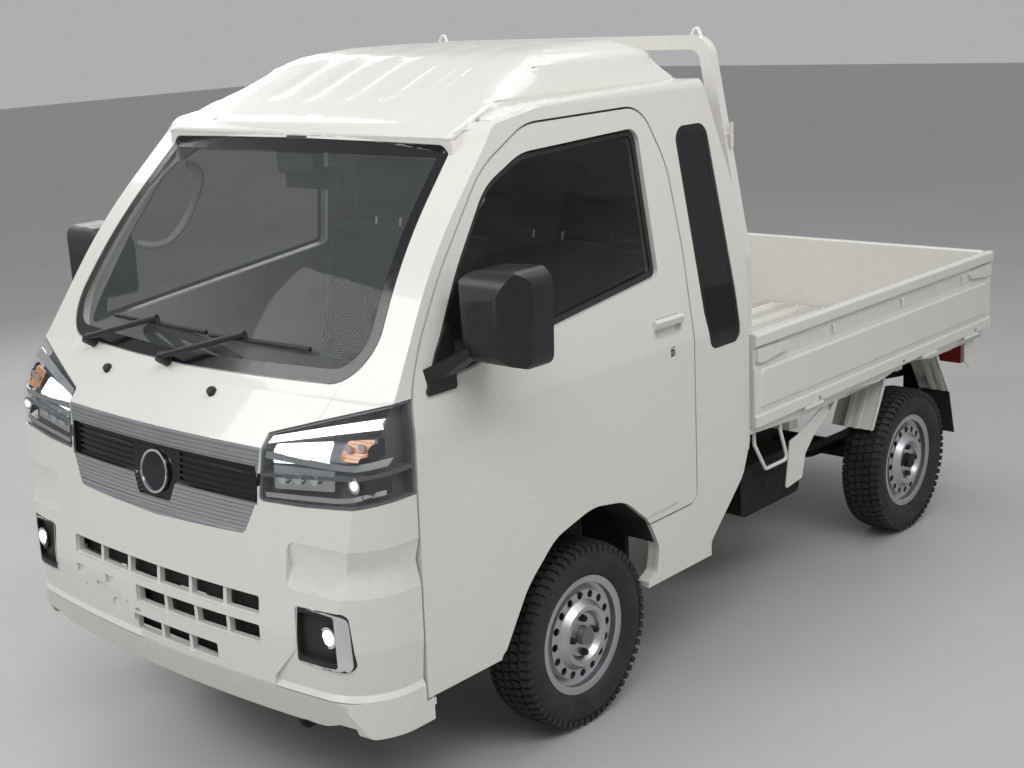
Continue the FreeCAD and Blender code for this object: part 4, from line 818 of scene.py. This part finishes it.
# bulb cups of a headlamp: x, z and radius
CUPS = ((690, 910, 19), (470, 897, 14), (520, 902, 14), (570, 907, 14), (655, 990, 11), (690, 995, 11))
LOW_BEAM = (690, 910)
FOG_BEAM = (613, 533)
FOG_TRIM = [(517, 455, 8), (672, 448, 22), (667, 592, 24), (519, 601, 8)]
FOG_TRIM_INNER = [(521, 461, 4), (638, 458, 8), (636, 589, 10), (523, 597, 4)]
# the bumper's openings in front view, two opposite corners of each group
OPENINGS = (((-410, 540), (410, 600)), ((-110, 385), (400, 528)))
NET_PLANE = -1.655
NET_BEND = 0.13
WASHERS = (-305, 158)
WASHER_HEIGHT = 1055
# clips in the plate's pockets: x, z, half width and half height
PLATE_CLIPS = ((-374, 500, 20, 11), (-222, 503, 20, 11), (-95, 448, 12, 5))
CLIP_DEPTH = 0.0075
SENSORS = ((572, 636), (-572, 636))


class TRUCK_OT_front_end(bpy.types.Operator):
    """Fit the lamps' insides and lenses, the garnish, the washers and the bumper's black parts"""
    bl_idname = "truck.front_end"
    bl_label = "Front end"

    def execute(self, context):
        self.garnish()
        self.headlamps()
        self.fog_lamps()
        self.small_parts()
        return {"FINISHED"}

    def garnish(self):
        mesh = merged("grille")
        skin = Skin("front", "grille")
        for height in (BAND_FOOT, BAND_TOP):
            bmesh.ops.bisect_plane(
                mesh, geom=[*mesh.verts, *mesh.edges, *mesh.faces], plane_co=(0, 0, height / MM),
                plane_no=(0, 0, 1))
        for face in mesh.faces:
            centre = face.calc_center_median() * MM
            width = abs(centre.x)
            in_band = BAND_FOOT < centre.z < BAND_TOP and width < BAND_HALF
            in_seat = SEAT_FOOT < centre.z < BAND_FOOT and (
                width < SEAT_HALF + (centre.z - SEAT_FOOT) * SEAT_FLARE)
            face.material_index = 1 if in_band or in_seat else 0
        flattened(mesh)
        trim = once("lined garnish", lined_metal, (0.62, 0.63, 0.65), GARNISH_PITCH)
        shown("garnish", mesh, [trim, gloss_black()], "truck", "grille", bevel=0.0008)
        ring = lathe(BADGE_RING, Vector((0, 0, 0)), 64)
        disc = lathe(BADGE_DISC, Vector((0, 0, 0)), 64)
        lean = Matrix.Rotation(math.radians(BADGE_LEAN), 4, "X") @ Matrix.Rotation(math.radians(90), 4, "Z")
        face = skin.at(0.0, BADGE_HEIGHT / MM)
        for part in (ring, disc):
            stand = Matrix.Translation(face + Vector((0, 0.001, 0))) @ lean
            bmesh.ops.transform(part, matrix=stand, verts=part.verts[:])
        shown("emblem_ring", ring, chrome(), "truck")
        field = once("emblem field", metal, (0.10, 0.10, 0.11), 0.25)
        shown("emblem_disc", disc, field, "truck")

    def headlamps(self):
        housing = merged("front_lamps", lambda low, high: high.z > HEADLAMP_LOW and low.y > LENS_PLANE)
        lenses = merged("front_lamps", lambda low, high: high.z > HEADLAMP_LOW and low.y <= LENS_PLANE)
        dark = once("lamp housing", moulded, (0.075, 0.08, 0.085), 0.3, 300.0, 0.05)
        shown("headlamp_housings", flattened(housing), dark, "truck", "front_lamps",
              bevel=0.001)
        shown("headlamp_lenses", lenses, once("clear lens", pane, (0.3, 0.31, 0.32), 0.05, 1.5), "truck",
              "front_lamps")
        skin = Skin("front", "front_lamps")
        finish = dict(
            lit=once("lit diodes", glowing, (0.86, 0.93, 1.0), 2.2),
            silver=once("reflector", metal, (0.72, 0.74, 0.76), 0.14),
            amber=once("amber lens", lens, (0.70, 0.28, 0.07), 0.9), black=gloss_black())
        for name, look, depth, rows in LAMP_PARTS:
            patch = skin.patch(rounded(rows, 3), lift=-depth / MM, depth=0.003, step=0.02)
            shown("lamp_" + name, pair(patch), finish[look], "truck")
        cups = []
        for x, z, size in CUPS:
            face = skin.at(x / MM, z / MM, -0.006) * MM
            cups.append(drum(face, face + Vector((0, 9, 0)), size, size * 0.55, 20))
        shown("lamp_bulbs", pair(joined(*cups)), finish["silver"], "truck")
        bulb = skin.at(LOW_BEAM[0] / MM, LOW_BEAM[1] / MM, -0.004) * MM
        spot = drum(bulb, bulb + Vector((0, 3, 0)), 11, 11, 20)
        shown("lamp_spots", pair(spot), finish["lit"], "truck")

    def fog_lamps(self):
        body = merged("front_lamps", lambda low, high: high.z < HEADLAMP_LOW)
        shown("fog_lamp_bodies", flattened(body), black(), "truck", "front_lamps", bevel=0.001)
        skin = Skin("front", "front_bumper", "front_lamps")
        rim = skin.patch(
            rounded(FOG_TRIM, 5), rounded(FOG_TRIM_INNER, 5), lift=0.0015, depth=0.004, step=0.015)
        plating = once("satin plating", metal, (0.85, 0.86, 0.87), 0.38)
        shown("fog_trims", pair(rim), plating, "truck")
        face = skin.at(FOG_BEAM[0] / MM, FOG_BEAM[1] / MM, 0.0) * MM
        cup = drum(face + Vector((0, -1, 0)), face + Vector((0, 8, 0)), 27, 20, 32)
        shown("fog_cups", pair(cup), chrome(), "truck")
        lit = drum(face + Vector((0, -2.5, 0)), face + Vector((0, 4, 0)), 19, 19, 32)
        shown("fog_lights", pair(lit), bpy.data.materials["lit diodes"], "truck")

    def small_parts(self):
        skin = Skin("front", "hood", "front_bumper")
        nets = []
        for (x0, z0), (x1, z1) in OPENINGS:
            loop = [Vector((x / MM, z / MM)) for x, z in ((x0, z0), (x1, z0), (x1, z1), (x0, z1))]
            net = sheet(loop, step=0.05)
            for vert in net.verts:
                vert.co = Vector((vert.co.x, NET_PLANE + NET_BEND * vert.co.x ** 2, vert.co.y))
            nets.append(thickened(net, 0.002, (0, 1, 0)))
        shown("bumper_netting", joined(*nets), once("bumper netting", netting, (0.02, 0.02, 0.02)), "truck")
        nozzles = []
        for x in WASHERS:
            foot = skin.at(x / MM, WASHER_HEIGHT / MM) * MM
            nozzles.append(drum(foot + Vector((0, 3, -3)), foot + Vector((0, -9, 7)), 17, 11, 6))
        shown("screen_washers", joined(*nozzles), black(), "truck", bevel=0.001)
        clips = []
        for x, z, wide, high in PLATE_CLIPS:
            loop = rounded([
                (x - wide, z - high, 3), (x + wide, z - high, 3), (x + wide, z + high, 3),
                (x - wide, z + high, 3)], 3)
            clips.append(skin.patch(loop, lift=-CLIP_DEPTH, depth=0.003, step=0.02))
        shown("plate_clips", joined(*clips), black(), "truck")
        sensors = []
        for x, z in SENSORS:
            foot = skin.at(x / MM, z / MM, 0.0) * MM
            sensors.append(drum(foot + Vector((0, -0.5, 0)), foot + Vector((0, 5, 0)), 9, 9, 20))
        shown("parking_sensors", joined(*sensors), paint(), "truck")


# ---------------------------------------------------------------- glass
# side views of the window openings, in millimetres: (y, z, corner radius)
DOOR_WINDOW = [
    (-1358, 1096, 16), (-1335, 1158, 400), (-1218, 1342, 880), (-1076, 1524, 190), (-928, 1590, 190),
    (-446, 1607, 34), (-440, 1207, 20)]
QUARTER_WINDOW = [
    (-268, 1594, 42), (-116, 1594, 42), (-74, 1100), (-72, 954, 27), (-219, 954, 32), (-239, 1062)]
# the left halves of the windscreen and the rear window, from the middle outwards: (x, z, corner radius)
SCREEN = [(0, 1098), (637, 1110, 108), (554, 1626, 34), (0, 1634)]
REAR_WINDOW = [(467, 1183, 38), (437, 1557, 38)]
REAR_GLASS_FACE = -0.0145
REAR_BAND = 0.02


class TRUCK_OT_glazing(bpy.types.Operator):
    """Glaze the windows and lay their seals"""
    bl_idname = "truck.glazing"
    bl_label = "Glazing"

    def execute(self, context):
        shade = tuple(finishes().smoke)
        smoke = once("smoked glass", pane, shade, 0.80, 1.5)
        clear = once("door glass", pane, shade, 0.42, 1.5)
        shown("screen", merged("windscreen"), once("screen glass", pane, (0.16, 0.18, 0.17), 0.16, 1.5),
              "truck", "windscreen", sharp=40)
        shown("cab_panes", merged("cab_windows"), smoke, "truck", "cab_windows")
        for side in LEFT_RIGHT:
            shown(side + "_door_pane", merged(side + "_door_glass"), clear, side + "_door",
                  side + "_door_glass")
        skin = Skin("front", "windscreen")
        outline = rounded(symmetric(SCREEN), 8)
        band = skin.patch(
            offset(outline, -0.001), offset(outline, -sizes().screen_band), lift=0.0004, depth=0.0004,
            step=0.025)
        shown("screen_band", band, gloss_black(), "truck")
        outline = rounded(DOOR_WINDOW, 8)
        seal = Skin("left", "left_door_glass").patch(
            offset(outline, -0.0015), offset(outline, -sizes().seal), lift=0.003, depth=0.006, step=0.04)
        for side, mesh in apart(seal):
            shown(side + "_door_seal", mesh, once("window rubber", rubber), side + "_door")
        outline = rounded(QUARTER_WINDOW, 6)
        seal = Skin("left", "cab_windows").patch(
            offset(outline, -0.001), offset(outline, -sizes().seal), lift=0.0006, depth=0.002, step=0.04)
        shown("quarter_seals", pair(seal), gloss_black(), "truck")
        outline = rounded(symmetric(REAR_WINDOW), 6)
        seal = sheet(offset(outline, -0.001), offset(outline, -REAR_BAND), step=0.2)
        for vert in seal.verts:
            vert.co = Vector((vert.co.x, REAR_GLASS_FACE, vert.co.y))
        shown("rear_window_seal", thickened(seal, 0.003, (0, 1, 0)), gloss_black(), "truck")
        return {"FINISHED"}


# ---------------------------------------------------------------- mirrors, wipers and door furniture
# back view of the left mirror's glass, in millimetres: (x, z, corner radius)
MIRROR_FACE = [
    (745, 1162, 22), (858, 1156, 10), (915, 1140, 26), (922, 1332, 36), (898, 1354, 26), (772, 1350, 44),
    (742, 1300, 50)]
# side view of the door's lock: (y, z) in metres
LOCK_PLACE = (-0.412, 0.981)


class TRUCK_OT_fittings(bpy.types.Operator):
    """Fit the mirrors, the wipers and the locks of the doors"""
    bl_idname = "truck.fittings"
    bl_label = "Fittings"

    def execute(self, context):
        shell = once("mirror moulding", moulded, tuple(finishes().trim), 0.38, 700.0, 0.12)
        silvering = once("mirror silvering", metal, (0.8, 0.82, 0.83), 0.03)
        for side in LEFT_RIGHT:
            node = side + "_mirror"
            shown(node + "_shell", flattened(merged(node)), shell, home(node), node,
                  bevel=0.012, segments=4, angle=25, sharp=50)
        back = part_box("left_mirror")[1].y - 0.004
        face = plate(rounded(MIRROR_FACE, 5), lambda u, v: Vector((u, back, v)), 0.0025, (0, 1, 0))
        for side, mesh in apart(face):
            shown(side + "_mirror_face", mesh, silvering, side + "_door")
        arm = once("wiper black", moulded, (0.01, 0.01, 0.011), 0.45)
        shown("wiper_set", flattened(merged("wipers")), arm, "truck", "wipers",
              bevel=0.0015)
        lock = Skin("left", "left_door").at(*LOCK_PLACE, 0.0) * MM
        for side, sign in SIDES:
            start = Vector((sign * (lock.x - 2), lock.y, lock.z))
            plug = drum(start, start + Vector((sign * 4, 0, 0)), 12, 11, 24)
            shown(side + "_door_lock", plug, black(), side + "_door", bevel=0.0006)
            face = start + Vector((sign * 3.5, 0, 0))
            key_plate = drum(face, face + Vector((sign * 1.1, 0, 0)), 6, 6, 20)
            shown(side + "_lock_plate", key_plate, zinc(), side + "_door")
        return {"FINISHED"}


# ---------------------------------------------------------------- wheels
TYRE_RADIUS = 264.0
# half a tyre's section under its tread, in millimetres: (x from the middle plane, radius)
TYRE_WALL = [
    (54, 153.5), (56, 158), (55, 170), (60, 176), (66, 186), (70, 200), (72.2, 212), (72.2, 216), (71.2, 217),
    (70.6, 226), (69, 236), (65, 246)]
BEAD_RADIUS = 153
# rows of tread blocks: (x, x, share of a pitch that the row is turned by, share left as groove)
TREAD_ROWS = (
    (-71, -45, 0.0, 0.30), (45, 71, 0.5, 0.30), (-40, -15, 0.25, 0.22), (15, 40, 0.75, 0.22),
    (-11, 11, 0.0, 0.16))
SHOULDER = 60
BLOCK_LEAN = 0.06
# of the wheel, in millimetres: the disc's face, the nuts' circle and the valve's place
DISC_FACE = 50
NUT_CIRCLE = 50
VALVE_RADIUS = 124
VALVE_FACE = 30


class TRUCK_OT_wheels(bpy.types.Operator):
    """Make the tyres with their tread, the steel wheels, the nuts and the valves"""
    bl_idname = "truck.wheels"
    bl_label = "Wheels"

    def execute(self, context):
        groove = TYRE_RADIUS - sizes().tread * MM
        carcass = once("tyre rubber", rubber, (0.012, 0.012, 0.0125))
        steel = once("wheel silver", metal, tuple(finishes().wheel), 0.34, 200.0)
        dark = once("hub casting", metal, (0.05, 0.05, 0.052), 0.5, 90.0)
        half = TYRE_WALL + [(60, groove - 4), (50, groove - 1), (20, groove)]
        section = [(-x, r) for x, r in half] + [(x, r) for x, r in reversed(half)]
        section += [(40, BEAD_RADIUS), (-40, BEAD_RADIUS)]
        for name in WHEELS:
            side = -1 if "right" in name else 1
            low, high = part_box(name + "_tyre")
            centre = (low + high) / 2
            middle = centre * MM
            wall = lathe(section, centre, 96)
            shown(name + "_carcass", wall, carcass, name + "_wheel", name + "_tyre", sharp=28)
            blocks = [self.row(*entry, groove, centre, carcass) for entry in TREAD_ROWS]
            shown(name + "_tread", joined(*blocks), carcass, name + "_wheel", sharp=28)
            rim = flattened(merged(name + "_rim"), 0.3)
            shown(name + "_disc", rim, steel, name + "_wheel", name + "_rim", bevel=0.0008,
                  sharp=32)
            start = middle + Vector((side * DISC_FACE, NUT_CIRCLE, 0))
            nut = drum(start, start + Vector((side * 15, 0, 0)), 11, 9, 6)
            nuts = repeated(nut, 4, dark, turn=(math.pi / 2, 0, 0), centre=centre)
            shown(name + "_nuts", nuts, dark, name + "_wheel", bevel=0.0008)
            stem = middle + Vector((side * VALVE_FACE, 0, VALVE_RADIUS))
            valve = drum(stem, stem + Vector((side * 26, 0, -4)), 4.5, 3.5, 12)
            shown(name + "_valve", valve, once("window rubber", rubber), name + "_wheel")
        return {"FINISHED"}

    def row(self, x0, x1, skew, gap, groove, centre, material):
        """One row of leaning tread blocks, from x0 to x1, with their feet in the carcass."""
        count = sizes().tread_blocks
        pitch = 2 * math.pi / count
        mesh = bmesh.new()
        outer = max(abs(x0), abs(x1)) > SHOULDER
        ring = []
        for lean, share in ((-BLOCK_LEAN, skew), (BLOCK_LEAN, skew + 1 - gap)):
            for x in (x0, x1):
                edge = abs(x) > SHOULDER
                foot = TYRE_RADIUS - 26 if edge else groove - 2
                top = TYRE_RADIUS - (9 if edge else (1.6 if outer else 0.4))
                angle = (share + lean * (1 if x == x0 else -1)) * pitch
                across = Vector((0, math.cos(angle), math.sin(angle)))
                for r in (foot, top):
                    ring.append(mesh.verts.new(centre + Vector((x / MM, 0, 0)) + across * r / MM))
        a0, a1, b0, b1, c0, c1, d0, d1 = ring
        for corner in ((a1, b1, d1, c1), (a0, c0, d0, b0), (a0, a1, c1, c0), (b0, d0, d1, b1),
                       (a0, b0, b1, a1), (c0, c1, d1, d0)):
            mesh.faces.new(corner)
        bmesh.ops.recalc_face_normals(mesh, faces=mesh.faces[:])
        return repeated(mesh, count, material, turn=(pitch, 0, 0), centre=centre)


# ---------------------------------------------------------------- cabin
# side views of the seats' padded parts, in millimetres: (y, z, corner radius)
CUSHION = [
    (-1078, 692, 10), (-604, 692, 10), (-566, 790, 30), (-594, 858, 40), (-1058, 877, 60), (-1106, 800, 50)]
BACKREST = [
    (-636, 802, 20), (-566, 794, 20), (-414, 1270, 40), (-430, 1300, 30), (-500, 1300, 40), (-545, 1200, 60)]
HEADREST = [
    (-512, 1316, 20), (-410, 1318, 25), (-378, 1490, 34), (-440, 1522, 34), (-498, 1478, 40)]
# name, side view, half the width and the fill of each padded part
SEAT_PARTS = (
    ("cushion", CUSHION, 236, 0.7), ("backrest", BACKREST, 234, 0.7), ("headrest", HEADREST, 125, 0.7))
SEAT_PLACE = 335
SEAM_OFFSET = 132
SEAM_RADIUS = 2.6
# side views of the seams: (y, z)
SEAMS = (((-1100, 812), (-1062, 872), (-830, 880), (-600, 862)), ((-633, 880), (-560, 1130), (-518, 1270)))
POST_OFFSET = 55
GRAB_HANDLE = [
    (-592, -1238, 1328), (-562, -1192, 1303), (-556, -1100, 1345), (-556, -1010, 1480), (-560, -1016, 1530),
    (-592, -1034, 1536)]
DASH_VENTS = ((-600, -520), (-110, -70), (165, 205), (520, 600))
KNOBS = (-20, 45, 110)
# the cloth solver's run, and metres that a seat's surface may rise by
CLOTH_FRAMES = 20
CLOTH_STIFFNESS = 40
VOXEL = 0.012
PRESSURE = 4.0
RISE = 0.012


def cushion(outline, half):
    """A closed block with the side outline (y, z) and half the width, both in millimetres."""
    points = rounded(outline, 4)
    mesh = bmesh.new()
    rings = []
    for x, inset in (
            (-half, 26), (-half + 20, 4), (-half * 0.4, 0), (half * 0.4, 0), (half - 20, 4), (half, 26)):
        loop = offset(points, -inset / MM)
        rings.append([mesh.verts.new((x / MM, point.x, point.y)) for point in loop])
    for first, second in zip(rings, rings[1:]):
        for i in range(len(first)):
            j = (i + 1) % len(first)
            mesh.faces.new((first[i], first[j], second[j], second[i]))
    for ring in (rings[0], rings[-1]):
        mesh.faces.new(ring)
    bmesh.ops.recalc_face_normals(mesh, faces=mesh.faces[:])
    return mesh


def inflated(name, mesh):
    """Blows a closed block up a little with the cloth solver, and returns the mesh."""
    data = bpy.data.meshes.new(name)
    mesh.to_mesh(data)
    mesh.free()
    piece = bpy.data.objects.new(name, data)
    bpy.context.collection.objects.link(piece)
    remesh = piece.modifiers.new("even", "REMESH")
    remesh.mode = "VOXEL"
    remesh.voxel_size = VOXEL
    settle(piece)
    start = [vert.co.copy() for vert in piece.data.vertices]
    solver = piece.modifiers.new("cloth", "CLOTH")
    solver.settings.quality = 6
    solver.settings.use_pressure = True
    solver.settings.uniform_pressure_force = PRESSURE
    solver.settings.effector_weights.gravity = 0.0
    solver.settings.tension_stiffness = CLOTH_STIFFNESS
    solver.settings.compression_stiffness = CLOTH_STIFFNESS
    solver.point_cache.frame_start = 1
    solver.point_cache.frame_end = CLOTH_FRAMES
    for number in range(1, CLOTH_FRAMES + 1):
        bpy.context.scene.frame_set(number)
    settle(piece)
    bpy.context.scene.frame_set(1)
    for vert, place in zip(piece.data.vertices, start):
        path = vert.co - place
        if path.length > RISE:
            vert.co = place + path.normalized() * RISE
    smooth = piece.modifiers.new("smooth", "SMOOTH")
    smooth.iterations = 4
    smooth.factor = 0.5
    finer = piece.modifiers.new("finer", "SUBSURF")
    finer.levels = finer.render_levels = 1
    settle(piece)
    result = bmesh.new()
    result.from_mesh(piece.data)
    old = piece.data
    bpy.data.objects.remove(piece)
    bpy.data.meshes.remove(old)
    return result


def moved(mesh, vector):
    """The mesh itself, moved by a vector in millimetres."""
    for vert in mesh.verts:
        vert.co += Vector(vector) / MM
    return mesh


class TRUCK_OT_cabin(bpy.types.Operator):
    """Upholster the seats and fit the dashboard, the handle and the inner mirror"""
    bl_idname = "truck.cabin"
    bl_label = "Cabin"

    def execute(self, context):
        self.seats()
        self.dashboard()
        self.small_parts()
        return {"FINISHED"}

    def seats(self):
        weave = once("seat cloth", cloth, (0.034, 0.034, 0.037))
        piping = once("seat piping", moulded, (0.012, 0.012, 0.013), 0.6)
        for part, outline, half, fill in SEAT_PARTS:
            mesh = inflated(part, cushion(outline, half))
            left = moved(mesh.copy(), (SEAT_PLACE, 0, 0))
            for side, copy in (("left", left), ("right", moved(mesh, (-SEAT_PLACE, 0, 0)))):
                piece = shown(
                    side + "_seat_" + part, copy, weave, "truck", "seats", sharp=80)
        for side, sign in SIDES:
            middle = sign * SEAT_PLACE
            seams = [
                tube([(middle + x, y, z) for y, z in path], SEAM_RADIUS)
                for x in (-SEAM_OFFSET, SEAM_OFFSET) for path in SEAMS]
            posts = [
                drum((middle + x, -462, 1285), (middle + x, -452, 1335), 6)
                for x in (-POST_OFFSET, POST_OFFSET)]
            shown(side + "_seat_piping", joined(*seams), piping, "truck")
            shown(side + "_headrest_posts", joined(*posts), chrome(), "truck")

    def dashboard(self):
        shown("dash_shell", flattened(merged("dashboard")), cabin_plastic(), "truck", "dashboard",
              bevel=0.006, segments=3)
        shown("steering_ring", merged("steering_wheel"), once("wheel cover", rubber, (0.016, 0.016, 0.017)),
              "steering_wheel", "steering_wheel", sharp=50)
        screen = block((-60, -1352, 905), (150, -1332, 1030))
        shown("centre_panel", screen, gloss_black(), "truck", bevel=0.004)
        knobs = [drum((x, -1352, 872), (x, -1326, 872), 17, 15, 28) for x in KNOBS]
        shown("heater_knobs", joined(*knobs), chrome(), "truck", bevel=0.001)
        slats = [
            block((low, -1370, 985 + row * 14), (high, -1356, 990 + row * 14))
            for low, high in DASH_VENTS for row in range(4)]
        shown("dash_vents", joined(*slats), gloss_black(), "truck")

    def small_parts(self):
        grip = once("handle plastic", moulded, (0.26, 0.26, 0.25), 0.5)
        shown("grab_handle", tube(GRAB_HANDLE, 12, 10), grip, "truck")
        top = Skin("front", "windscreen").at(0.0, 1.600, 0.0).y * MM
        camera = block((-75, top + 18, 1538), (75, top + 62, 1600))
        shown("camera_housing", camera, black(), "truck", bevel=0.008, segments=3)
        glass = block((-115, top + 78, 1490), (115, top + 92, 1552))
        stem = drum((0, top + 40, 1560), (0, top + 85, 1545), 7)
        shown("inner_mirror", joined(glass, stem), black(), "truck", bevel=0.005)
        visors = [block((x - 190, -1075, 1588), (x + 190, -930, 1606)) for x in (-330, 330)]
        shown("sun_visors", joined(*visors), lining(), "truck", bevel=0.006, segments=3)


# ---------------------------------------------------------------- load bed, lamps at the back and underbody
# a gate's bolts: y and z of the first one in millimetres, and the metres to the next
BOLT_PLACE = (402, 664)
BOLT_STEP = 0.578
# where a tail lamp's red lens ends and its clear lens begins, in metres from the middle
RED_EDGE = 0.56
CLEAR_EDGE = 0.5


class TRUCK_OT_load_bed(bpy.types.Operator):
    """Fit the gates' bolts and the lenses of the tail lamps"""
    bl_idname = "truck.load_bed"
    bl_label = "Load bed"

    def execute(self, context):
        bright = zinc()
        for side, sign in SIDES:
            low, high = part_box(side + "_gate")
            outer = MM * (high.x if sign > 0 else low.x)
            head = drum((outer - sign * 2, *BOLT_PLACE), (outer, *BOLT_PLACE), 6.5, 5.5, 6)
            bolts = repeated(head, 3, bright, step=(0, BOLT_STEP, 0))
            shown(side + "_gate_bolts", bolts, bright, side + "_gate")
        tails = merged("tail_lamps")
        red = once("tail lens", lens, (0.42, 0.012, 0.012), 0.97)
        clear = once("reversing lens", lens, (0.6, 0.6, 0.58), 0.95)
        orange = once("rear signal lens", lens, (0.62, 0.22, 0.02), 0.96)
        for face in tails.faces:
            width = abs(face.calc_center_median().x)
            face.material_index = 0 if width > RED_EDGE else (1 if width > CLEAR_EDGE else 2)
        shown("tail_lenses", tails, [red, orange, clear], "truck", "tail_lamps")
        return {"FINISHED"}


class TRUCK_OT_running_gear(bpy.types.Operator):
    """Finish the chassis, the axles, the engine and the mudguards"""
    bl_idname = "truck.running_gear"
    bl_label = "Running gear"

    def execute(self, context):
        frame_paint = once("frame paint", metal, (0.045, 0.045, 0.047), 0.55, 60.0)
        for node in ("chassis_frame", "front_suspension", "rear_axle", "leaf_springs", "fuel_tank"):
            shown(node + "_painted", flattened(merged(node)), frame_paint, "truck", node,
                  bevel=0.0025)
        flap = once("mudguard rubber", rubber, (0.01, 0.01, 0.0105))
        shown("mud_flaps", flattened(merged("mudguards")), flap, "truck", "mudguards",
              bevel=0.0015)
        cast = once("cast metal", metal, (0.3, 0.3, 0.31), 0.6, 90.0)
        coat(cast, "engine", *both("knuckle"))
        coat(once("exhaust steel", metal, (0.36, 0.34, 0.32), 0.45), "exhaust")
        return {"FINISHED"}


# ---------------------------------------------------------------- floor, lights and camera
CAMERA_PLACE = (3.159, -3.779, 1.971)
CAMERA_FORWARD = (-0.6491, 0.7191, -0.2483)
CAMERA_RIGHT = (0.7496, 0.6601, -0.0481)
CAMERA_LENS = 52.85
CAMERA_SENSOR = 36.0
CAMERA_NEAR = 0.05
FLOOR_HALF = 30
SKY = (0.92, 0.93, 0.95, 1)
SKY_STRENGTH = 0.46
# name, place, aim, size in metres and power in watts
LAMPS = (
    ("ceiling strip left", (3.5, -2.0, 4.6), (0.6, -0.6, 0.8), (6.0, 1.6), 140),
    ("ceiling strip front", (-1.5, -5.0, 4.2), (0, -1.2, 0.9), (5.0, 1.8), 128),
    ("ceiling over bed", (0.5, 1.5, 5.0), (0.2, 0.4, 0.5), (5.0, 3.0), 82),
    ("far side fill", (-5.0, 1.0, 3.0), (0, 0, 0.8), (4.0, 2.5), 72),
)


def area_light(name, place, aim, size, power):
    """A rectangular lamp at a place that looks at aim."""
    lamp = bpy.data.lights.new(name, "AREA")
    lamp.energy = power
    lamp.shape = "RECTANGLE"
    lamp.size, lamp.size_y = size
    holder = bpy.data.objects.new(name, lamp)
    holder.location = place
    holder.rotation_euler = (Vector(aim) - Vector(place)).to_track_quat("-Z", "Y").to_euler()
    bpy.context.collection.objects.link(holder)


class TRUCK_OT_stage(bpy.types.Operator):
    """Lay the floor and set the lights and the camera"""
    bl_idname = "truck.stage"
    bl_label = "Stage"

    def execute(self, context):
        shade = finishes().floor
        mesh = bpy.data.meshes.new("floor")
        rim = [(x * FLOOR_HALF, y * FLOOR_HALF, 0) for x, y in ((-1, -1), (1, -1), (1, 1), (-1, 1))]
        mesh.from_pydata(rim, [], [(0, 1, 2, 3)])
        floor = bpy.data.objects.new("floor", mesh)
        context.collection.objects.link(floor)
        s = Shader("studio floor")
        patches = s.uneven(0.0, 1.0, 1.5)
        s.set(Base_Color=s.mix(patches, rgba(shade), rgba(shade, 0.94)), Roughness=0.5)
        mesh.materials.append(s.material)
        for entry in LAMPS:
            area_light(*entry)
        world = bpy.data.worlds.new("studio")
        world.use_nodes = True
        background = world.node_tree.nodes["Background"]
        background.inputs["Color"].default_value = SKY
        background.inputs["Strength"].default_value = SKY_STRENGTH
        context.scene.world = world
        context.scene.view_settings.view_transform = "Standard"
        camera = bpy.data.cameras.new("camera")
        camera.sensor_width = CAMERA_SENSOR
        camera.lens = CAMERA_LENS
        camera.clip_start = CAMERA_NEAR
        holder = bpy.data.objects.new("camera", camera)
        forward = Vector(CAMERA_FORWARD).normalized()
        right = Vector(CAMERA_RIGHT).normalized()
        turn = Matrix((right, right.cross(forward), -forward)).transposed().to_4x4()
        holder.matrix_world = Matrix.Translation(CAMERA_PLACE) @ turn
        context.collection.objects.link(holder)
        context.scene.camera = holder
        return {"FINISHED"}


OPERATORS = (
    TRUCK_OT_stage, TRUCK_OT_bodywork, TRUCK_OT_front_end, TRUCK_OT_glazing, TRUCK_OT_fittings,
    TRUCK_OT_wheels, TRUCK_OT_cabin, TRUCK_OT_load_bed, TRUCK_OT_running_gear)


class TRUCK_PT_sidebar(bpy.types.Panel):
    bl_idname = "TRUCK_PT_sidebar"
    bl_label = "Kei truck"
    bl_space_type = "VIEW_3D"
    bl_region_type = "UI"
    bl_category = "Kei truck"

    def draw(self, context):
        for group in (context.scene.truck_finishes, context.scene.truck_sizes):
            for name in group.__annotations__:
                self.layout.prop(group, name)
        for operator in OPERATORS:
            self.layout.operator(operator.bl_idname)


CLASSES = (TruckFinishes, TruckSizes, *OPERATORS, TRUCK_PT_sidebar)


def register():
    for entry in CLASSES:
        bpy.utils.register_class(entry)
    bpy.types.Scene.truck_finishes = PointerProperty(type=TruckFinishes)
    bpy.types.Scene.truck_sizes = PointerProperty(type=TruckSizes)


def unregister():
    del bpy.types.Scene.truck_sizes
    del bpy.types.Scene.truck_finishes
    for entry in reversed(CLASSES):
        bpy.utils.unregister_class(entry)


def main():
    register()
    for operator in OPERATORS:
        group, name = operator.bl_idname.split(".")
        getattr(getattr(bpy.ops, group), name)()


if __name__ == "__main__":
    main()
